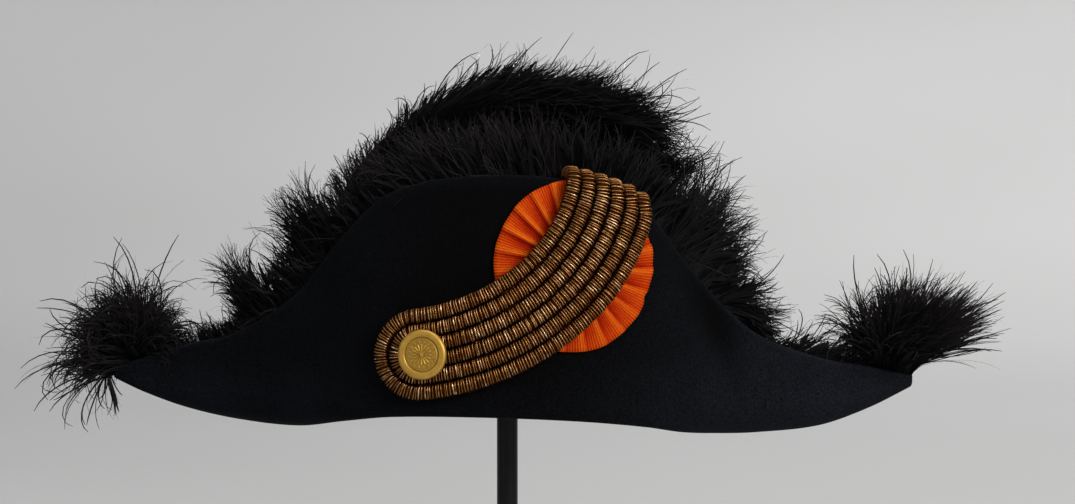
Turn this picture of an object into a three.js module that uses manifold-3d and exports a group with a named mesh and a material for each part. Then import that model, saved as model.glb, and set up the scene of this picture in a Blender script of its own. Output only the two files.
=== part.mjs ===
// A felt bicorne with ostrich trim, a pleated cockade, bullion loops and a button, on a plain display stand.
// Millimetres, +Z up. X runs from the left point to the right point and the front flap faces -Y.
// The origin is the centre of the stand's underside. Heights on the hat are measured from its rim level.
import * as THREE from "three";
import { mergeVertices } from "three/addons/utils/BufferGeometryUtils.js";
import Module from "manifold-3d";

const wasm = await Module();
wasm.setup();

// Felt body
const RIM_HEIGHT = 160;
const FELT_WALL = 2.6;
const SEAM_GAP = 0.35;
const SOFT_GAP = 0.7;
const FLAP_CURL = 1.8;
const DENT_FADE = 3;
const CROWN = { halfLength: 101, halfWidth: 80, top: 114, roundness: 2.6, sides: 36, levels: 6 };

// The brim's cross sections from point to point: place along the hat, height of the underside, half width
// at the fold, radius of the turn-up, then height and half width of each flap's edge.
const SECTIONS = [
  { x: -207, keel: 22, fold: 3.2, turn: 3.2, frontEdge: 27.5, frontHalf: 3.4, backEdge: 28.5, backHalf: 3.4 },
  { x: -190, keel: 14, fold: 6, turn: 6, frontEdge: 33.5, frontHalf: 7.5, backEdge: 33, backHalf: 8 },
  { x: -168, keel: 6.3, fold: 11, turn: 10, frontEdge: 40.5, frontHalf: 13.5, backEdge: 39, backHalf: 14.5 },
  { x: -141, keel: 0.8, fold: 20, turn: 14, frontEdge: 47.5, frontHalf: 22.5, backEdge: 48, backHalf: 23.5 },
  { x: -108, keel: -0.5, fold: 40, turn: 14, frontEdge: 68.8, frontHalf: 39, backEdge: 82, backHalf: 38 },
  { x: -83, keel: 4.5, fold: 60, turn: 9, frontEdge: 99.4, frontHalf: 54, backEdge: 129, backHalf: 51 },
  { x: -58, keel: 8.4, fold: 74.5, turn: 6, frontEdge: 121.5, frontHalf: 63, backEdge: 154, backHalf: 58 },
  { x: -14, keel: 9.3, fold: 84.5, turn: 5, frontEdge: 130, frontHalf: 69, backEdge: 165, backHalf: 63 },
  { x: 36, keel: 7, fold: 81.5, turn: 5, frontEdge: 127, frontHalf: 67, backEdge: 163, backHalf: 62 },
  { x: 71, keel: 2.4, fold: 67.5, turn: 7, frontEdge: 111.5, frontHalf: 58.5, backEdge: 146, backHalf: 56 },
  { x: 90, keel: -2.2, fold: 53, turn: 11, frontEdge: 87.5, frontHalf: 47.5, backEdge: 117, backHalf: 47 },
  { x: 108, keel: -4.7, fold: 38, turn: 14, frontEdge: 66, frontHalf: 35.5, backEdge: 81, backHalf: 37 },
  { x: 130, keel: -5.6, fold: 25.5, turn: 14, frontEdge: 47, frontHalf: 26, backEdge: 47, backHalf: 27.5 },
  { x: 164, keel: -3, fold: 13.5, turn: 12, frontEdge: 33.5, frontHalf: 15.5, backEdge: 30.5, backHalf: 16.5 },
  { x: 190, keel: 6, fold: 7, turn: 7, frontEdge: 28.5, frontHalf: 8.5, backEdge: 27, backHalf: 9 },
  { x: 213, keel: 17.6, fold: 3.2, turn: 3.2, frontEdge: 23.2, frontHalf: 3.4, backEdge: 24, backHalf: 3.4 },
];
const BRIM_STATIONS = 34;
const WALL_STEPS = 5;
const TURN_STEPS = 2;
const FLOOR_STEPS = 4;

// Soft dents of the front flap, and one swell as a negative depth: centre, lean of the groove from upright
// in degrees towards +X going down, half length, half width and depth.
const DENTS = [
  { x: 106, z: 56, lean: 24, length: 34, width: 9, depth: 4.0 },
  { x: -78, z: 78, lean: -20, length: 34, width: 16, depth: -1.6 },
];

// Bullion, cockade and button on the front flap: places as X and height
const CORD_RADIUS = 3.3;
const CORD_PITCH = 7.65;
const CORD_SIDES = 8;
const CORD_STEPS = { leg: 9, round: 8, hook: 6 };
const STRAND_OFFSET = { outer: 2.5 * CORD_PITCH, middle: 1.5 * CORD_PITCH, inner: 0.5 * CORD_PITCH };
const HOOK_DROP = 2;
const INNER_STRAND_SHARE = 0.95;
const STRAP_TOP = new THREE.Vector2(51.3, 128);
const STRAP_SHOULDER = new THREE.Vector2(49.6, 86.8);
const STRAP_BEND = new THREE.Vector2(12.4, 48);
const STRAP_END = new THREE.Vector2(-42.3, 41);
const BUTTON_PLACE = new THREE.Vector2(-39.2, 41.1);
const COCKADE = {
  x: 33.5, z: 84.3, radius: 41.8, aspect: 0.955, pleats: 26, rings: [0.34, 0.68, 1],
  thickness: 1.5, pleatDepth: 1.0, rise: 6, ramp: 26,
};
const BUTTON = {
  radius: 12.5, rimWidth: 3.8, thickness: 3.6, recess: 0.7, chamfer: 0.8, shank: 1.8, sides: 24,
};
const ROSETTE = { petals: 10, outer: 6.4, inner: 3.6, relief: 0.55, sunk: 0.4 };

// Feather trims: a band sewn inside each flap's edge that divides into locks. For each place along the hat,
// the locks' lean in degrees from +X, their reach past the edge, and how far inside the felt they stand,
// which is more where the bullion turns over the edge.
const TRIM = { first: -160, last: 168, locks: 31, drop: 15, kneeDrop: 7.5, gap: 1.2 };
const TRIM_LOCK = {
  body: 0.5, valley: 0.62, wave: 0.26, follow: 0.6, reachScatter: 0.14, leanScatter: 5, leanSeed: 51,
};
const TRIM_HALF_THICKNESS = { root: 2.0, knee: 2.8, body: 3.2, tip: 0.7 };
const TRIM_FRONT = [
  { x: -160, lean: 120, reach: 12, inset: 5 },
  { x: -140, lean: 130, reach: 28, inset: 8 },
  { x: -118, lean: 132, reach: 34, inset: 9 },
  { x: -98, lean: 128, reach: 37, inset: 9 },
  { x: -76, lean: 126, reach: 27, inset: 9 },
  { x: -52, lean: 116, reach: 28, inset: 9 },
  { x: -20, lean: 100, reach: 35, inset: 9 },
  { x: 20, lean: 92, reach: 37, inset: 19 },
  { x: 60, lean: 62, reach: 38, inset: 22 },
  { x: 84, lean: 36, reach: 44, inset: 12 },
  { x: 104, lean: 8, reach: 36, inset: 9.5 },
  { x: 124, lean: 2, reach: 18, inset: 9 },
  { x: 145, lean: 24, reach: 11, inset: 7 },
  { x: 168, lean: 26, reach: 10, inset: 4.5 },
];
const TRIM_BACK = [
  { x: -160, lean: 135, reach: 11, inset: 5 },
  { x: -130, lean: 126, reach: 22, inset: 8 },
  { x: -95, lean: 124, reach: 16, inset: 8 },
  { x: -66, lean: 92, reach: 9, inset: 8 },
  { x: -40, lean: 48, reach: 30, inset: 8 },
  { x: -12, lean: 28, reach: 45, inset: 8 },
  { x: 20, lean: 17, reach: 45, inset: 8 },
  { x: 50, lean: 4, reach: 40, inset: 8 },
  { x: 75, lean: -10, reach: 28, inset: 8 },
  { x: 98, lean: 0, reach: 24, inset: 8 },
  { x: 125, lean: 10, reach: 15, inset: 8 },
  { x: 168, lean: 26, reach: 9, inset: 4.5 },
];

// Feather tufts on the points: a round head on a stem in the fold, then the locks' lean in degrees from +X
// and their reach from the head's centre.
const TUFT_LEFT = {
  x: -205,
  z: 50.5,
  stemX: -198,
  rows: [
    { lean: -12, reach: 27 },
    { lean: 20, reach: 30 },
    { lean: 60, reach: 36 },
    { lean: 90, reach: 36 },
    { lean: 125, reach: 40 },
    { lean: 155, reach: 44 },
    { lean: 185, reach: 51 },
    { lean: 215, reach: 47 },
    { lean: 240, reach: 48 },
    { lean: 264, reach: 52 },
  ],
};
const TUFT_RIGHT = {
  x: 211,
  z: 46.5,
  stemX: 203,
  rows: [
    { lean: -38, reach: 38 },
    { lean: -20, reach: 42 },
    { lean: 0, reach: 50 },
    { lean: 15, reach: 53 },
    { lean: 30, reach: 49 },
    { lean: 55, reach: 41 },
    { lean: 75, reach: 39 },
    { lean: 100, reach: 34 },
    { lean: 125, reach: 34 },
    { lean: 152, reach: 42 },
    { lean: 178, reach: 33 },
  ],
};
const TUFT = {
  locks: 24, head: 17, headSides: 12, headLevels: 8, stem: 1.1, stemSides: 6, stemLift: 1.0,
  tilts: [-46, 2, 42, -20], droop: 235, droopTilt: 42, arch: 0.06, reachScatter: 0.08,
};
const LOCK = { wide: 8, thin: 6, sides: 4, steps: 2, fullness: 0.6 };

// Display stand
const STAND = {
  footRadius: 90, footHeight: 10, footBevel: 2, footSides: 36, rodRadius: 5.5, rodSides: 24,
  restRadius: 44, restDome: 58, restEdge: 8, restSides: 24, restLevels: 4,
};

const FINISH = {
  felt: { color: 0x15171c, roughness: 0.95, metalness: 0 },
  feather: { color: 0x1a1715, roughness: 0.7, metalness: 0 },
  ribbon: { color: 0xd8560c, roughness: 0.6, metalness: 0 },
  bullion: { color: 0x8d6a34, roughness: 0.4, metalness: 0.9 },
  gilt: { color: 0xc09a4a, roughness: 0.35, metalness: 1 },
  stand: { color: 0x141416, roughness: 0.35, metalness: 0.2 },
};

// One column of a table at a place along it, on a smooth curve through the rows.
function along(table, column, place, key = "x") {
  const last = table.length - 1;
  let row = 0;
  while (row < last - 1 && place > table[row + 1][key]) row += 1;
  const slopeAt = (index) => {
    const before = table[Math.max(index - 1, 0)];
    const after = table[Math.min(index + 1, last)];
    return (after[column] - before[column]) / (after[key] - before[key]);
  };
  const [start, end] = [table[row], table[row + 1]];
  const span = end[key] - start[key];
  const t = THREE.MathUtils.clamp((place - start[key]) / span, 0, 1);
  const ease = t * t * (3 - 2 * t);
  const leave = t * (1 - t) * (1 - t) * span * slopeAt(row);
  const arrive = t * t * (t - 1) * span * slopeAt(row + 1);
  return start[column] * (1 - ease) + end[column] * ease + leave + arrive;
}

// A repeatable scatter value from -1 to 1.
function scatter(seed) {
  const goldenShare = (Math.sqrt(5) - 1) / 2;
  const turns = seed * goldenShare;
  return 2 * (turns - Math.floor(turns)) - 1;
}

function solidOf(geometry) {
  const bare = geometry.clone().deleteAttribute("normal").deleteAttribute("uv");
  const weldDistance = 1e-4;
  const merged = mergeVertices(bare, weldDistance);
  const mesh = new wasm.Mesh({
    numProp: 3,
    vertProperties: Float32Array.from(merged.attributes.position.array),
    triVerts: Uint32Array.from(merged.index.array),
  });
  return new wasm.Manifold(mesh);
}

function geometryOf(solid) {
  const mesh = solid.getMesh();
  const geometry = new THREE.BufferGeometry();
  geometry.setAttribute("position", new THREE.BufferAttribute(mesh.vertProperties, 3));
  geometry.setIndex(new THREE.BufferAttribute(mesh.triVerts, 1));
  return geometry;
}

// One solid from several closed geometries that run into each other.
function fuse(geometries) {
  const joined = geometries.map(solidOf).reduce((whole, piece) => whole.add(piece));
  return geometryOf(joined);
}

// A closed wall between two grids of points with the same rows and columns.
function wallBetween(outer, inner) {
  const rows = outer.length;
  const columns = outer[0].length;
  const points = [...outer.flat(), ...inner.flat()];
  const offset = rows * columns;
  const triangles = [];
  const quad = (a, b, c, d) => triangles.push(a, b, c, a, c, d);
  const at = (row, column) => row * columns + column;
  for (let row = 0; row < rows - 1; row += 1) {
    for (let column = 0; column < columns - 1; column += 1) {
      const corners = [at(row, column), at(row, column + 1), at(row + 1, column + 1), at(row + 1, column)];
      quad(...corners);
      quad(...corners.map((corner) => corner + offset).reverse());
    }
    const [first, second] = [at(row, 0), at(row + 1, 0)];
    quad(first, second, second + offset, first + offset);
    const [third, fourth] = [at(row, columns - 1), at(row + 1, columns - 1)];
    quad(fourth, third, third + offset, fourth + offset);
  }
  for (let column = 0; column < columns - 1; column += 1) {
    const [first, second] = [at(0, column), at(0, column + 1)];
    quad(second, first, first + offset, second + offset);
    const [third, fourth] = [at(rows - 1, column), at(rows - 1, column + 1)];
    quad(third, fourth, fourth + offset, third + offset);
  }
  const geometry = new THREE.BufferGeometry().setFromPoints(points);
  geometry.setIndex(triangles);
  return geometry;
}

// How far the front flap is pressed in at a place.
function dentDepth(x, z) {
  return DENTS.reduce((depth, dent) => {
    const lean = THREE.MathUtils.degToRad(dent.lean);
    const across = (x - dent.x) * Math.cos(lean) + (z - dent.z) * Math.sin(lean);
    const lengthwise = (z - dent.z) * Math.cos(lean) - (x - dent.x) * Math.sin(lean);
    return depth + dent.depth * Math.exp(-((across / dent.width) ** 2) - (lengthwise / dent.length) ** 2);
  }, 0);
}

// Half width of the brim's outer face at a place along the hat and a height, on its front or its back.
function outerHalfWidth(side, x, z) {
  const fold = along(SECTIONS, "fold", x);
  const foot = along(SECTIONS, "keel", x) + along(SECTIONS, "turn", x);
  const edge = along(SECTIONS, `${side}Edge`, x);
  const half = along(SECTIONS, `${side}Half`, x);
  const rise = THREE.MathUtils.clamp((z - foot) / (edge - foot), 0, 1);
  const dent = side === "front" ? dentDepth(x, z) * Math.min(1, DENT_FADE * rise) : 0;
  return fold + (half - fold) * rise ** FLAP_CURL - dent;
}

// A place on the front flap's outer face, raised from it along its normal.
function onFrontFlap(x, z, lift) {
  const step = 0.5;
  const slopeX = (outerHalfWidth("front", x + step, z) - outerHalfWidth("front", x - step, z)) / (2 * step);
  const slopeZ = (outerHalfWidth("front", x, z + step) - outerHalfWidth("front", x, z - step)) / (2 * step);
  const normal = new THREE.Vector3(-slopeX, -1, -slopeZ).normalize();
  const point = new THREE.Vector3(x, -outerHalfWidth("front", x, z), z).addScaledVector(normal, lift);
  return { point, normal, slopeX, slopeZ };
}

// One cross section of the brim from the front edge, under the hat, to the back edge, set in from its
// outer face.
function brimSection(x, inset) {
  const keel = along(SECTIONS, "keel", x);
  const fold = along(SECTIONS, "fold", x);
  const turn = along(SECTIONS, "turn", x);
  const wall = (side, sign) => {
    const edge = along(SECTIONS, `${side}Edge`, x);
    return Array.from({ length: WALL_STEPS + 1 }, (_, step) => {
      const z = THREE.MathUtils.lerp(edge, keel + turn, step / WALL_STEPS);
      return new THREE.Vector3(x, sign * (outerHalfWidth(side, x, z) - inset), z);
    });
  };
  const bend = (sign) => Array.from({ length: TURN_STEPS }, (_, step) => {
    const angle = ((step + 1) / TURN_STEPS) * (Math.PI / 2);
    const y = sign * (fold - turn + (turn - inset) * Math.cos(angle));
    return new THREE.Vector3(x, y, keel + turn - (turn - inset) * Math.sin(angle));
  });
  const floor = Array.from({ length: FLOOR_STEPS - 1 }, (_, step) => {
    const y = THREE.MathUtils.lerp(turn - fold, fold - turn, (step + 1) / FLOOR_STEPS);
    return new THREE.Vector3(x, y, keel + inset);
  });
  return [...wall("front", -1), ...bend(-1), ...floor, ...bend(1).reverse(), ...wall("back", 1).reverse()];
}

function makeBrim() {
  const first = SECTIONS[0].x;
  const last = SECTIONS[SECTIONS.length - 1].x;
  const places = Array.from({ length: BRIM_STATIONS + 1 }, (_, step) =>
    THREE.MathUtils.lerp(first, last, step / BRIM_STATIONS));
  const outer = places.map((x) => brimSection(x, 0));
  const inner = places.map((x) => brimSection(x, FELT_WALL));
  const headHole = new THREE.Shape();
  headHole.absellipse(0, 0, CROWN.halfLength + SEAM_GAP, CROWN.halfWidth + SEAM_GAP, 0, 2 * Math.PI);
  const holeDepth = 60;
  const hole = new THREE.ExtrudeGeometry(headHole, {
    depth: holeDepth,
    bevelEnabled: false,
    curveSegments: CROWN.sides / 2,
  });
  hole.translate(0, 0, -holeDepth / 2);
  return geometryOf(solidOf(wallBetween(outer, inner)).subtract(solidOf(hole)));
}

// A dome that is steep at the sides and flat on top, turned from one profile and squeezed to the head's
// oval.
function makeCrown() {
  const dome = (radius, top) => Array.from({ length: CROWN.levels + 1 }, (_, level) => {
    const angle = (level / CROWN.levels) * (Math.PI / 2);
    const reach = level === CROWN.levels ? 0 : Math.cos(angle) ** (2 / CROWN.roundness);
    return new THREE.Vector2(radius * reach, top * Math.sin(angle) ** (2 / CROWN.roundness));
  });
  const outside = dome(CROWN.halfLength, CROWN.top);
  const inside = dome(CROWN.halfLength - FELT_WALL, CROWN.top - FELT_WALL).reverse();
  const crown = new THREE.LatheGeometry([...inside, ...outside], CROWN.sides);
  crown.rotateX(Math.PI / 2);
  crown.scale(1, CROWN.halfWidth / CROWN.halfLength, 1);
  const place = crown.attributes.position;
  for (let index = 0; index < place.count; index += 1) {
    const z = place.getZ(index);
    const rim = along(SECTIONS, "keel", place.getX(index));
    place.setZ(index, z + rim * (1 - z / CROWN.top));
  }
  return crown;
}

// A curve that is followed in equal steps from control point to control point.
class PointedPath extends THREE.CatmullRomCurve3 {
  getPointAt(u, target) {
    return this.getPoint(u, target);
  }

  getTangentAt(u, target) {
    return this.getTangent(u, target);
  }
}

function tubeThrough(points, radius, sides) {
  const section = new THREE.Shape();
  section.absarc(0, 0, radius, 0, 2 * Math.PI);
  return new THREE.ExtrudeGeometry(section, {
    steps: points.length - 1,
    curveSegments: sides / 2,
    extrudePath: new PointedPath(points, false, "centripetal"),
  });
}

const strap = new THREE.CubicBezierCurve(STRAP_TOP, STRAP_SHOULDER, STRAP_BEND, STRAP_END);

// A cord's height over the felt, which rises where it crosses the cockade.
function cordLift(x, z) {
  const distance = Math.hypot(x - COCKADE.x, z - COCKADE.z);
  const near = COCKADE.radius + COCKADE.rise;
  const far = COCKADE.radius + COCKADE.ramp;
  const clear = THREE.MathUtils.smoothstep(distance, near, far);
  const over = SOFT_GAP + COCKADE.thickness + COCKADE.pleatDepth;
  return CORD_RADIUS + SOFT_GAP + over * (1 - clear);
}

// A place beside the strap's middle line, measured over the felt, across a given direction.
function besideStrap(middle, direction, distance) {
  const { slopeX, slopeZ } = onFrontFlap(middle.x, middle.y, 0);
  const stretch = Math.hypot(direction.x, direction.y, slopeX * direction.x + slopeZ * direction.y);
  const step = distance / stretch;
  return new THREE.Vector2(middle.x + direction.x * step, middle.y + direction.y * step);
}

function besideStrapAt(t, offset) {
  const tangent = strap.getTangent(t);
  return besideStrap(strap.getPoint(t), new THREE.Vector2(tangent.y, -tangent.x), offset);
}

// The turned-over end of a cord at the flap's edge, from inside the hat to the outer face. All turn the
// same way.
function hookOver(x) {
  const edge = along(SECTIONS, "frontEdge", x);
  const inwards = onFrontFlap(STRAP_TOP.x, STRAP_TOP.y, 0).normal.setZ(0).normalize().negate();
  const outer = new THREE.Vector3(x, -outerHalfWidth("front", x, edge), edge);
  const outside = cordLift(x, edge);
  const swing = (outside + FELT_WALL + CORD_RADIUS + SOFT_GAP) / 2;
  const edgeSlope = along(SECTIONS, "frontEdge", x + 1) - edge;
  const rise = (CORD_RADIUS + SOFT_GAP) * Math.hypot(1, edgeSlope);
  const arc = Array.from({ length: CORD_STEPS.hook + 1 }, (_, step) => {
    const angle = Math.PI * (step / CORD_STEPS.hook);
    const inside = swing - outside + swing * Math.cos(angle);
    const point = outer.clone().addScaledVector(inwards, inside);
    point.z += rise * Math.sin(angle);
    return point;
  });
  const end = arc[0].clone();
  end.z -= HOOK_DROP;
  return [end, ...arc];
}

// One strand of the strap from the flap's edge down to a share of the way to the button.
function strandPoints(offset, share) {
  const search = 0.005;
  const isOverEdge = ({ x, y }) => y > along(SECTIONS, "frontEdge", x) - CORD_RADIUS;
  let start = 0;
  while (isOverEdge(besideStrapAt(start, offset))) start += search;
  const legs = Array.from({ length: CORD_STEPS.leg + 1 }, (_, step) =>
    besideStrapAt(THREE.MathUtils.lerp(start, share, step / CORD_STEPS.leg), offset));
  return [...hookOver(legs[0].x), ...legs.map(({ x, y }) => onFrontFlap(x, y, cordLift(x, y)).point)];
}

function makeBullionLoop(offset) {
  const upper = strandPoints(offset, 1);
  const lower = strandPoints(-offset, 1).reverse();
  const arrival = strap.getTangent(1);
  const side = new THREE.Vector2(arrival.y, -arrival.x);
  const round = Array.from({ length: CORD_STEPS.round - 1 }, (_, step) => {
    const angle = Math.PI * ((step + 1) / CORD_STEPS.round);
    const direction = side.clone().multiplyScalar(Math.cos(angle)).addScaledVector(arrival, Math.sin(angle));
    const { x, y } = besideStrap(STRAP_END, direction, offset);
    return onFrontFlap(x, y, cordLift(x, y)).point;
  });
  return tubeThrough([...upper, ...round, ...lower], CORD_RADIUS, CORD_SIDES);
}

function makeBullionStrand(offset) {
  return tubeThrough(strandPoints(offset, INNER_STRAND_SHARE), CORD_RADIUS, CORD_SIDES);
}

// Ribbon in radial pleats that stand highest at the rim, lying on the flap.
function makeCockade() {
  const { rings } = COCKADE;
  const spokes = 2 * COCKADE.pleats;
  const { slopeX } = onFrontFlap(COCKADE.x, COCKADE.z, 0);
  const turned = COCKADE.aspect / Math.hypot(1, slopeX);
  const place = (ring, spoke, lift) => {
    const angle = (spoke / spokes) * 2 * Math.PI;
    const reach = COCKADE.radius * ring;
    const x = COCKADE.x + reach * turned * Math.cos(angle);
    return onFrontFlap(x, COCKADE.z + reach * Math.sin(angle), lift).point;
  };
  const top = (ring, spoke) => SOFT_GAP + COCKADE.thickness + (spoke % 2) * COCKADE.pleatDepth * ring;
  const points = [];
  const triangles = [];
  for (const ring of rings) {
    for (let spoke = 0; spoke < spokes; spoke += 1) points.push(place(ring, spoke, top(ring, spoke)));
  }
  const under = points.length;
  for (const ring of rings) {
    for (let spoke = 0; spoke < spokes; spoke += 1) points.push(place(ring, spoke, SOFT_GAP));
  }
  const topCentre = points.push(place(0, 0, SOFT_GAP + COCKADE.thickness)) - 1;
  const underCentre = points.push(place(0, 0, SOFT_GAP)) - 1;
  const rim = (rings.length - 1) * spokes;
  for (let spoke = 0; spoke < spokes; spoke += 1) {
    const next = (spoke + 1) % spokes;
    triangles.push(topCentre, spoke, next, underCentre, under + next, under + spoke);
    for (let ring = 0; ring < rings.length - 1; ring += 1) {
      const [a, b] = [ring * spokes + spoke, ring * spokes + next];
      triangles.push(a, a + spokes, b + spokes, a, b + spokes, b);
      const [c, d] = [under + a, under + b];
      triangles.push(c, d + spokes, c + spokes, c, d, d + spokes);
    }
    triangles.push(rim + spoke, under + rim + spoke, under + rim + next);
    triangles.push(rim + spoke, under + rim + next, rim + next);
  }
  const geometry = new THREE.BufferGeometry().setFromPoints(points);
  geometry.setIndex(triangles);
  return geometry;
}

// The button stands on its shank, with its back just clear of the cords. Its axis is local Y.
function makeButton() {
  const back = 2 * CORD_RADIUS + SOFT_GAP + SEAM_GAP;
  const front = back + BUTTON.thickness;
  const { radius, rimWidth, recess, chamfer, shank } = BUTTON;
  const field = front - recess;
  const profile = [
    [0, SEAM_GAP],
    [shank, SEAM_GAP],
    [shank, back],
    [radius - chamfer, back],
    [radius, back + chamfer],
    [radius, front - chamfer],
    [radius - chamfer, front],
    [radius - rimWidth, front],
    [radius - rimWidth - recess, field],
    [0, field],
  ].map(([reach, height]) => new THREE.Vector2(reach, height));
  const body = new THREE.LatheGeometry(profile, BUTTON.sides);
  const outline = new THREE.Shape();
  const corners = 2 * ROSETTE.petals;
  for (let corner = 0; corner < corners; corner += 1) {
    const angle = (corner / corners) * 2 * Math.PI;
    const reach = corner % 2 ? ROSETTE.inner : ROSETTE.outer;
    const [x, y] = [reach * Math.cos(angle), reach * Math.sin(angle)];
    if (corner === 0) outline.moveTo(x, y);
    else outline.lineTo(x, y);
  }
  const depth = ROSETTE.relief + ROSETTE.sunk;
  const rosette = new THREE.ExtrudeGeometry(outline, { depth, bevelEnabled: false });
  rosette.rotateX(-Math.PI / 2);
  rosette.translate(0, field - ROSETTE.sunk, 0);
  return fuse([body, rosette]);
}

// A lock of feather: a cone bent along a curve, thin along the way it faces and wide across it.
function makeLock(curve, facing, { wide, thin, sides, steps, fullness }) {
  const cone = new THREE.ConeGeometry(1, 1, sides, steps);
  const place = cone.attributes.position;
  for (let index = 0; index < place.count; index += 1) {
    const t = place.getY(index) + 0.5;
    const swell = t < 1 ? (1 - t) ** (fullness - 1) : 0;
    const tangent = curve.getTangent(t);
    const across = new THREE.Vector3().crossVectors(tangent, facing).normalize();
    const depth = new THREE.Vector3().crossVectors(across, tangent);
    const point = curve.getPoint(t);
    point.addScaledVector(across, place.getX(index) * wide * swell);
    point.addScaledVector(depth, place.getZ(index) * thin * swell);
    place.setXYZ(index, point.x, point.y, point.z);
  }
  return cone;
}

// A direction from its lean in degrees from +X in the hat's upright plane and its tilt towards +Y.
function leanVector(degrees, tilt = 0) {
  const lean = THREE.MathUtils.degToRad(degrees);
  const aside = THREE.MathUtils.degToRad(tilt);
  const level = Math.cos(aside);
  return new THREE.Vector3(Math.cos(lean) * level, Math.sin(aside), Math.sin(lean) * level);
}

// One upright of a trim, as pairs of points on its two faces from the root to the tip. Every second one is
// the middle of a lock, swaying in or out, and the others are the valleys between locks.
function trimUpright(side, rows, index) {
  const sign = side === "front" ? -1 : 1;
  const x = THREE.MathUtils.lerp(TRIM.first, TRIM.last, index / (2 * TRIM.locks));
  const edge = along(SECTIONS, `${side}Edge`, x);
  const rootZ = edge - TRIM.drop;
  const face = outerHalfWidth(side, x, rootZ) - FELT_WALL;
  const slope = outerHalfWidth(side, x + 1, rootZ) - outerHalfWidth(side, x, rootZ);
  const inwards = new THREE.Vector3(slope, -sign, 0).normalize();
  const inset = along(rows, "inset", x);

  const isLock = index % 2 === 1;
  const share = isLock ? 1 + TRIM_LOCK.reachScatter * scatter(index) : TRIM_LOCK.valley;
  const swerve = isLock ? TRIM_LOCK.leanScatter * scatter(index + TRIM_LOCK.leanSeed) : 0;
  const swaySide = isLock ? (index % 4) - 2 : 0;
  const heading = leanVector(along(rows, "lean", x) + swerve);
  const sway = TRIM_LOCK.wave * inset * swaySide;
  const climb = new THREE.Vector3(heading.x, sign * slope * TRIM_LOCK.follow * heading.x, heading.z);
  climb.multiplyScalar(share * along(rows, "reach", x)).addScaledVector(inwards, sway);
  climb.z += TRIM.kneeDrop;

  const rootDepth = TRIM.gap + TRIM_HALF_THICKNESS.root;
  const root = new THREE.Vector3(x, sign * (face - rootDepth), rootZ);
  const knee = new THREE.Vector3(x, sign * (face - inset), edge - TRIM.kneeDrop);
  const body = knee.clone().addScaledVector(climb, TRIM_LOCK.body);
  const tip = knee.clone().add(climb);
  const halves = Object.values(TRIM_HALF_THICKNESS);
  return [root, knee, body, tip].map((middle, level) => ({
    outer: middle.clone().addScaledVector(inwards, -halves[level]),
    inner: middle.clone().addScaledVector(inwards, halves[level]),
  }));
}

// Ostrich trim inside one flap's edge: a band along the felt that rises past the edge and divides into
// locks.
function makeTrim(side, rows) {
  const uprights = Array.from({ length: 2 * TRIM.locks + 1 }, (_, index) => trimUpright(side, rows, index));
  const face = (name) => uprights.map((upright) => {
    const points = upright.map((level) => level[name]);
    return side === "front" ? points.reverse() : points;
  });
  return wallBetween(face("outer"), face("inner"));
}

// Ostrich tuft on a point of the brim: a stem down into the fold, a round head on it and locks all round.
function makeTuft({ x, z, stemX, rows }) {
  const root = new THREE.Vector3(x, 0, z);
  const stemFoot = along(SECTIONS, "keel", stemX) + FELT_WALL + TUFT.stemLift;
  const stem = new THREE.CylinderGeometry(TUFT.stem, TUFT.stem, z - stemFoot, TUFT.stemSides);
  stem.rotateX(Math.PI / 2);
  stem.translate(stemX, 0, (z + stemFoot) / 2);
  const head = new THREE.SphereGeometry(TUFT.head, TUFT.headSides, TUFT.headLevels);
  head.rotateX(Math.PI / 2);
  head.translate(x, 0, z);
  const facing = new THREE.Vector3(0, 1, 0);
  const [first, last] = [rows[0].lean, rows[rows.length - 1].lean];
  const locks = Array.from({ length: TUFT.locks }, (_, index) => {
    const lean = THREE.MathUtils.lerp(first, last, index / (TUFT.locks - 1));
    const side = index % 2 ? 1 : -1;
    const tilt = lean > TUFT.droop ? side * TUFT.droopTilt : TUFT.tilts[index % TUFT.tilts.length];
    const reach = along(rows, "reach", lean, "lean") * (1 + TUFT.reachScatter * scatter(index));
    const heading = leanVector(lean, tilt);
    const tip = root.clone().addScaledVector(heading, reach);
    const knee = root.clone().addScaledVector(heading, reach / 2);
    knee.z += TUFT.arch * reach;
    return makeLock(new THREE.QuadraticBezierCurve3(root, knee, tip), facing, LOCK);
  });
  return fuse([head, stem, ...locks]);
}

// A turned piece from its profile as pairs of reach and height.
function lathed(profile, sides) {
  const points = profile.map(([reach, height]) => new THREE.Vector2(reach, height));
  const geometry = new THREE.LatheGeometry(points, sides);
  geometry.rotateX(Math.PI / 2);
  return geometry;
}

// The stand's round foot, its rod, and the domed rest just under the crown's top.
function makeStand() {
  const { footRadius, footHeight, footBevel, rodRadius, restRadius, restDome, restEdge, restLevels } = STAND;
  const restTop = RIM_HEIGHT + CROWN.top - FELT_WALL - SOFT_GAP;
  const domeHeight = (reach) => restTop - restDome + Math.sqrt(restDome ** 2 - reach ** 2);
  const restFoot = domeHeight(restRadius) - restEdge;
  const foot = lathed([
    [0, 0],
    [footRadius, 0],
    [footRadius, footHeight - footBevel],
    [footRadius - footBevel, footHeight],
    [0, footHeight],
  ], STAND.footSides);
  const rodFoot = footHeight + SEAM_GAP;
  const rodTop = restFoot - SEAM_GAP;
  const rod = new THREE.CylinderGeometry(rodRadius, rodRadius, rodTop - rodFoot, STAND.rodSides);
  rod.rotateX(Math.PI / 2);
  rod.translate(0, 0, (rodTop + rodFoot) / 2);
  const dome = Array.from({ length: restLevels + 1 }, (_, level) => {
    const reach = restRadius * (1 - level / restLevels);
    return [reach, domeHeight(reach)];
  });
  const rest = lathed([[0, restFoot], [restRadius - restEdge / 2, restFoot], ...dome], STAND.restSides);
  return { foot, rod, rest };
}

function named(name, geometry, finish) {
  const mesh = new THREE.Mesh(geometry, new THREE.MeshStandardMaterial(finish));
  mesh.name = name;
  return mesh;
}

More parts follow.
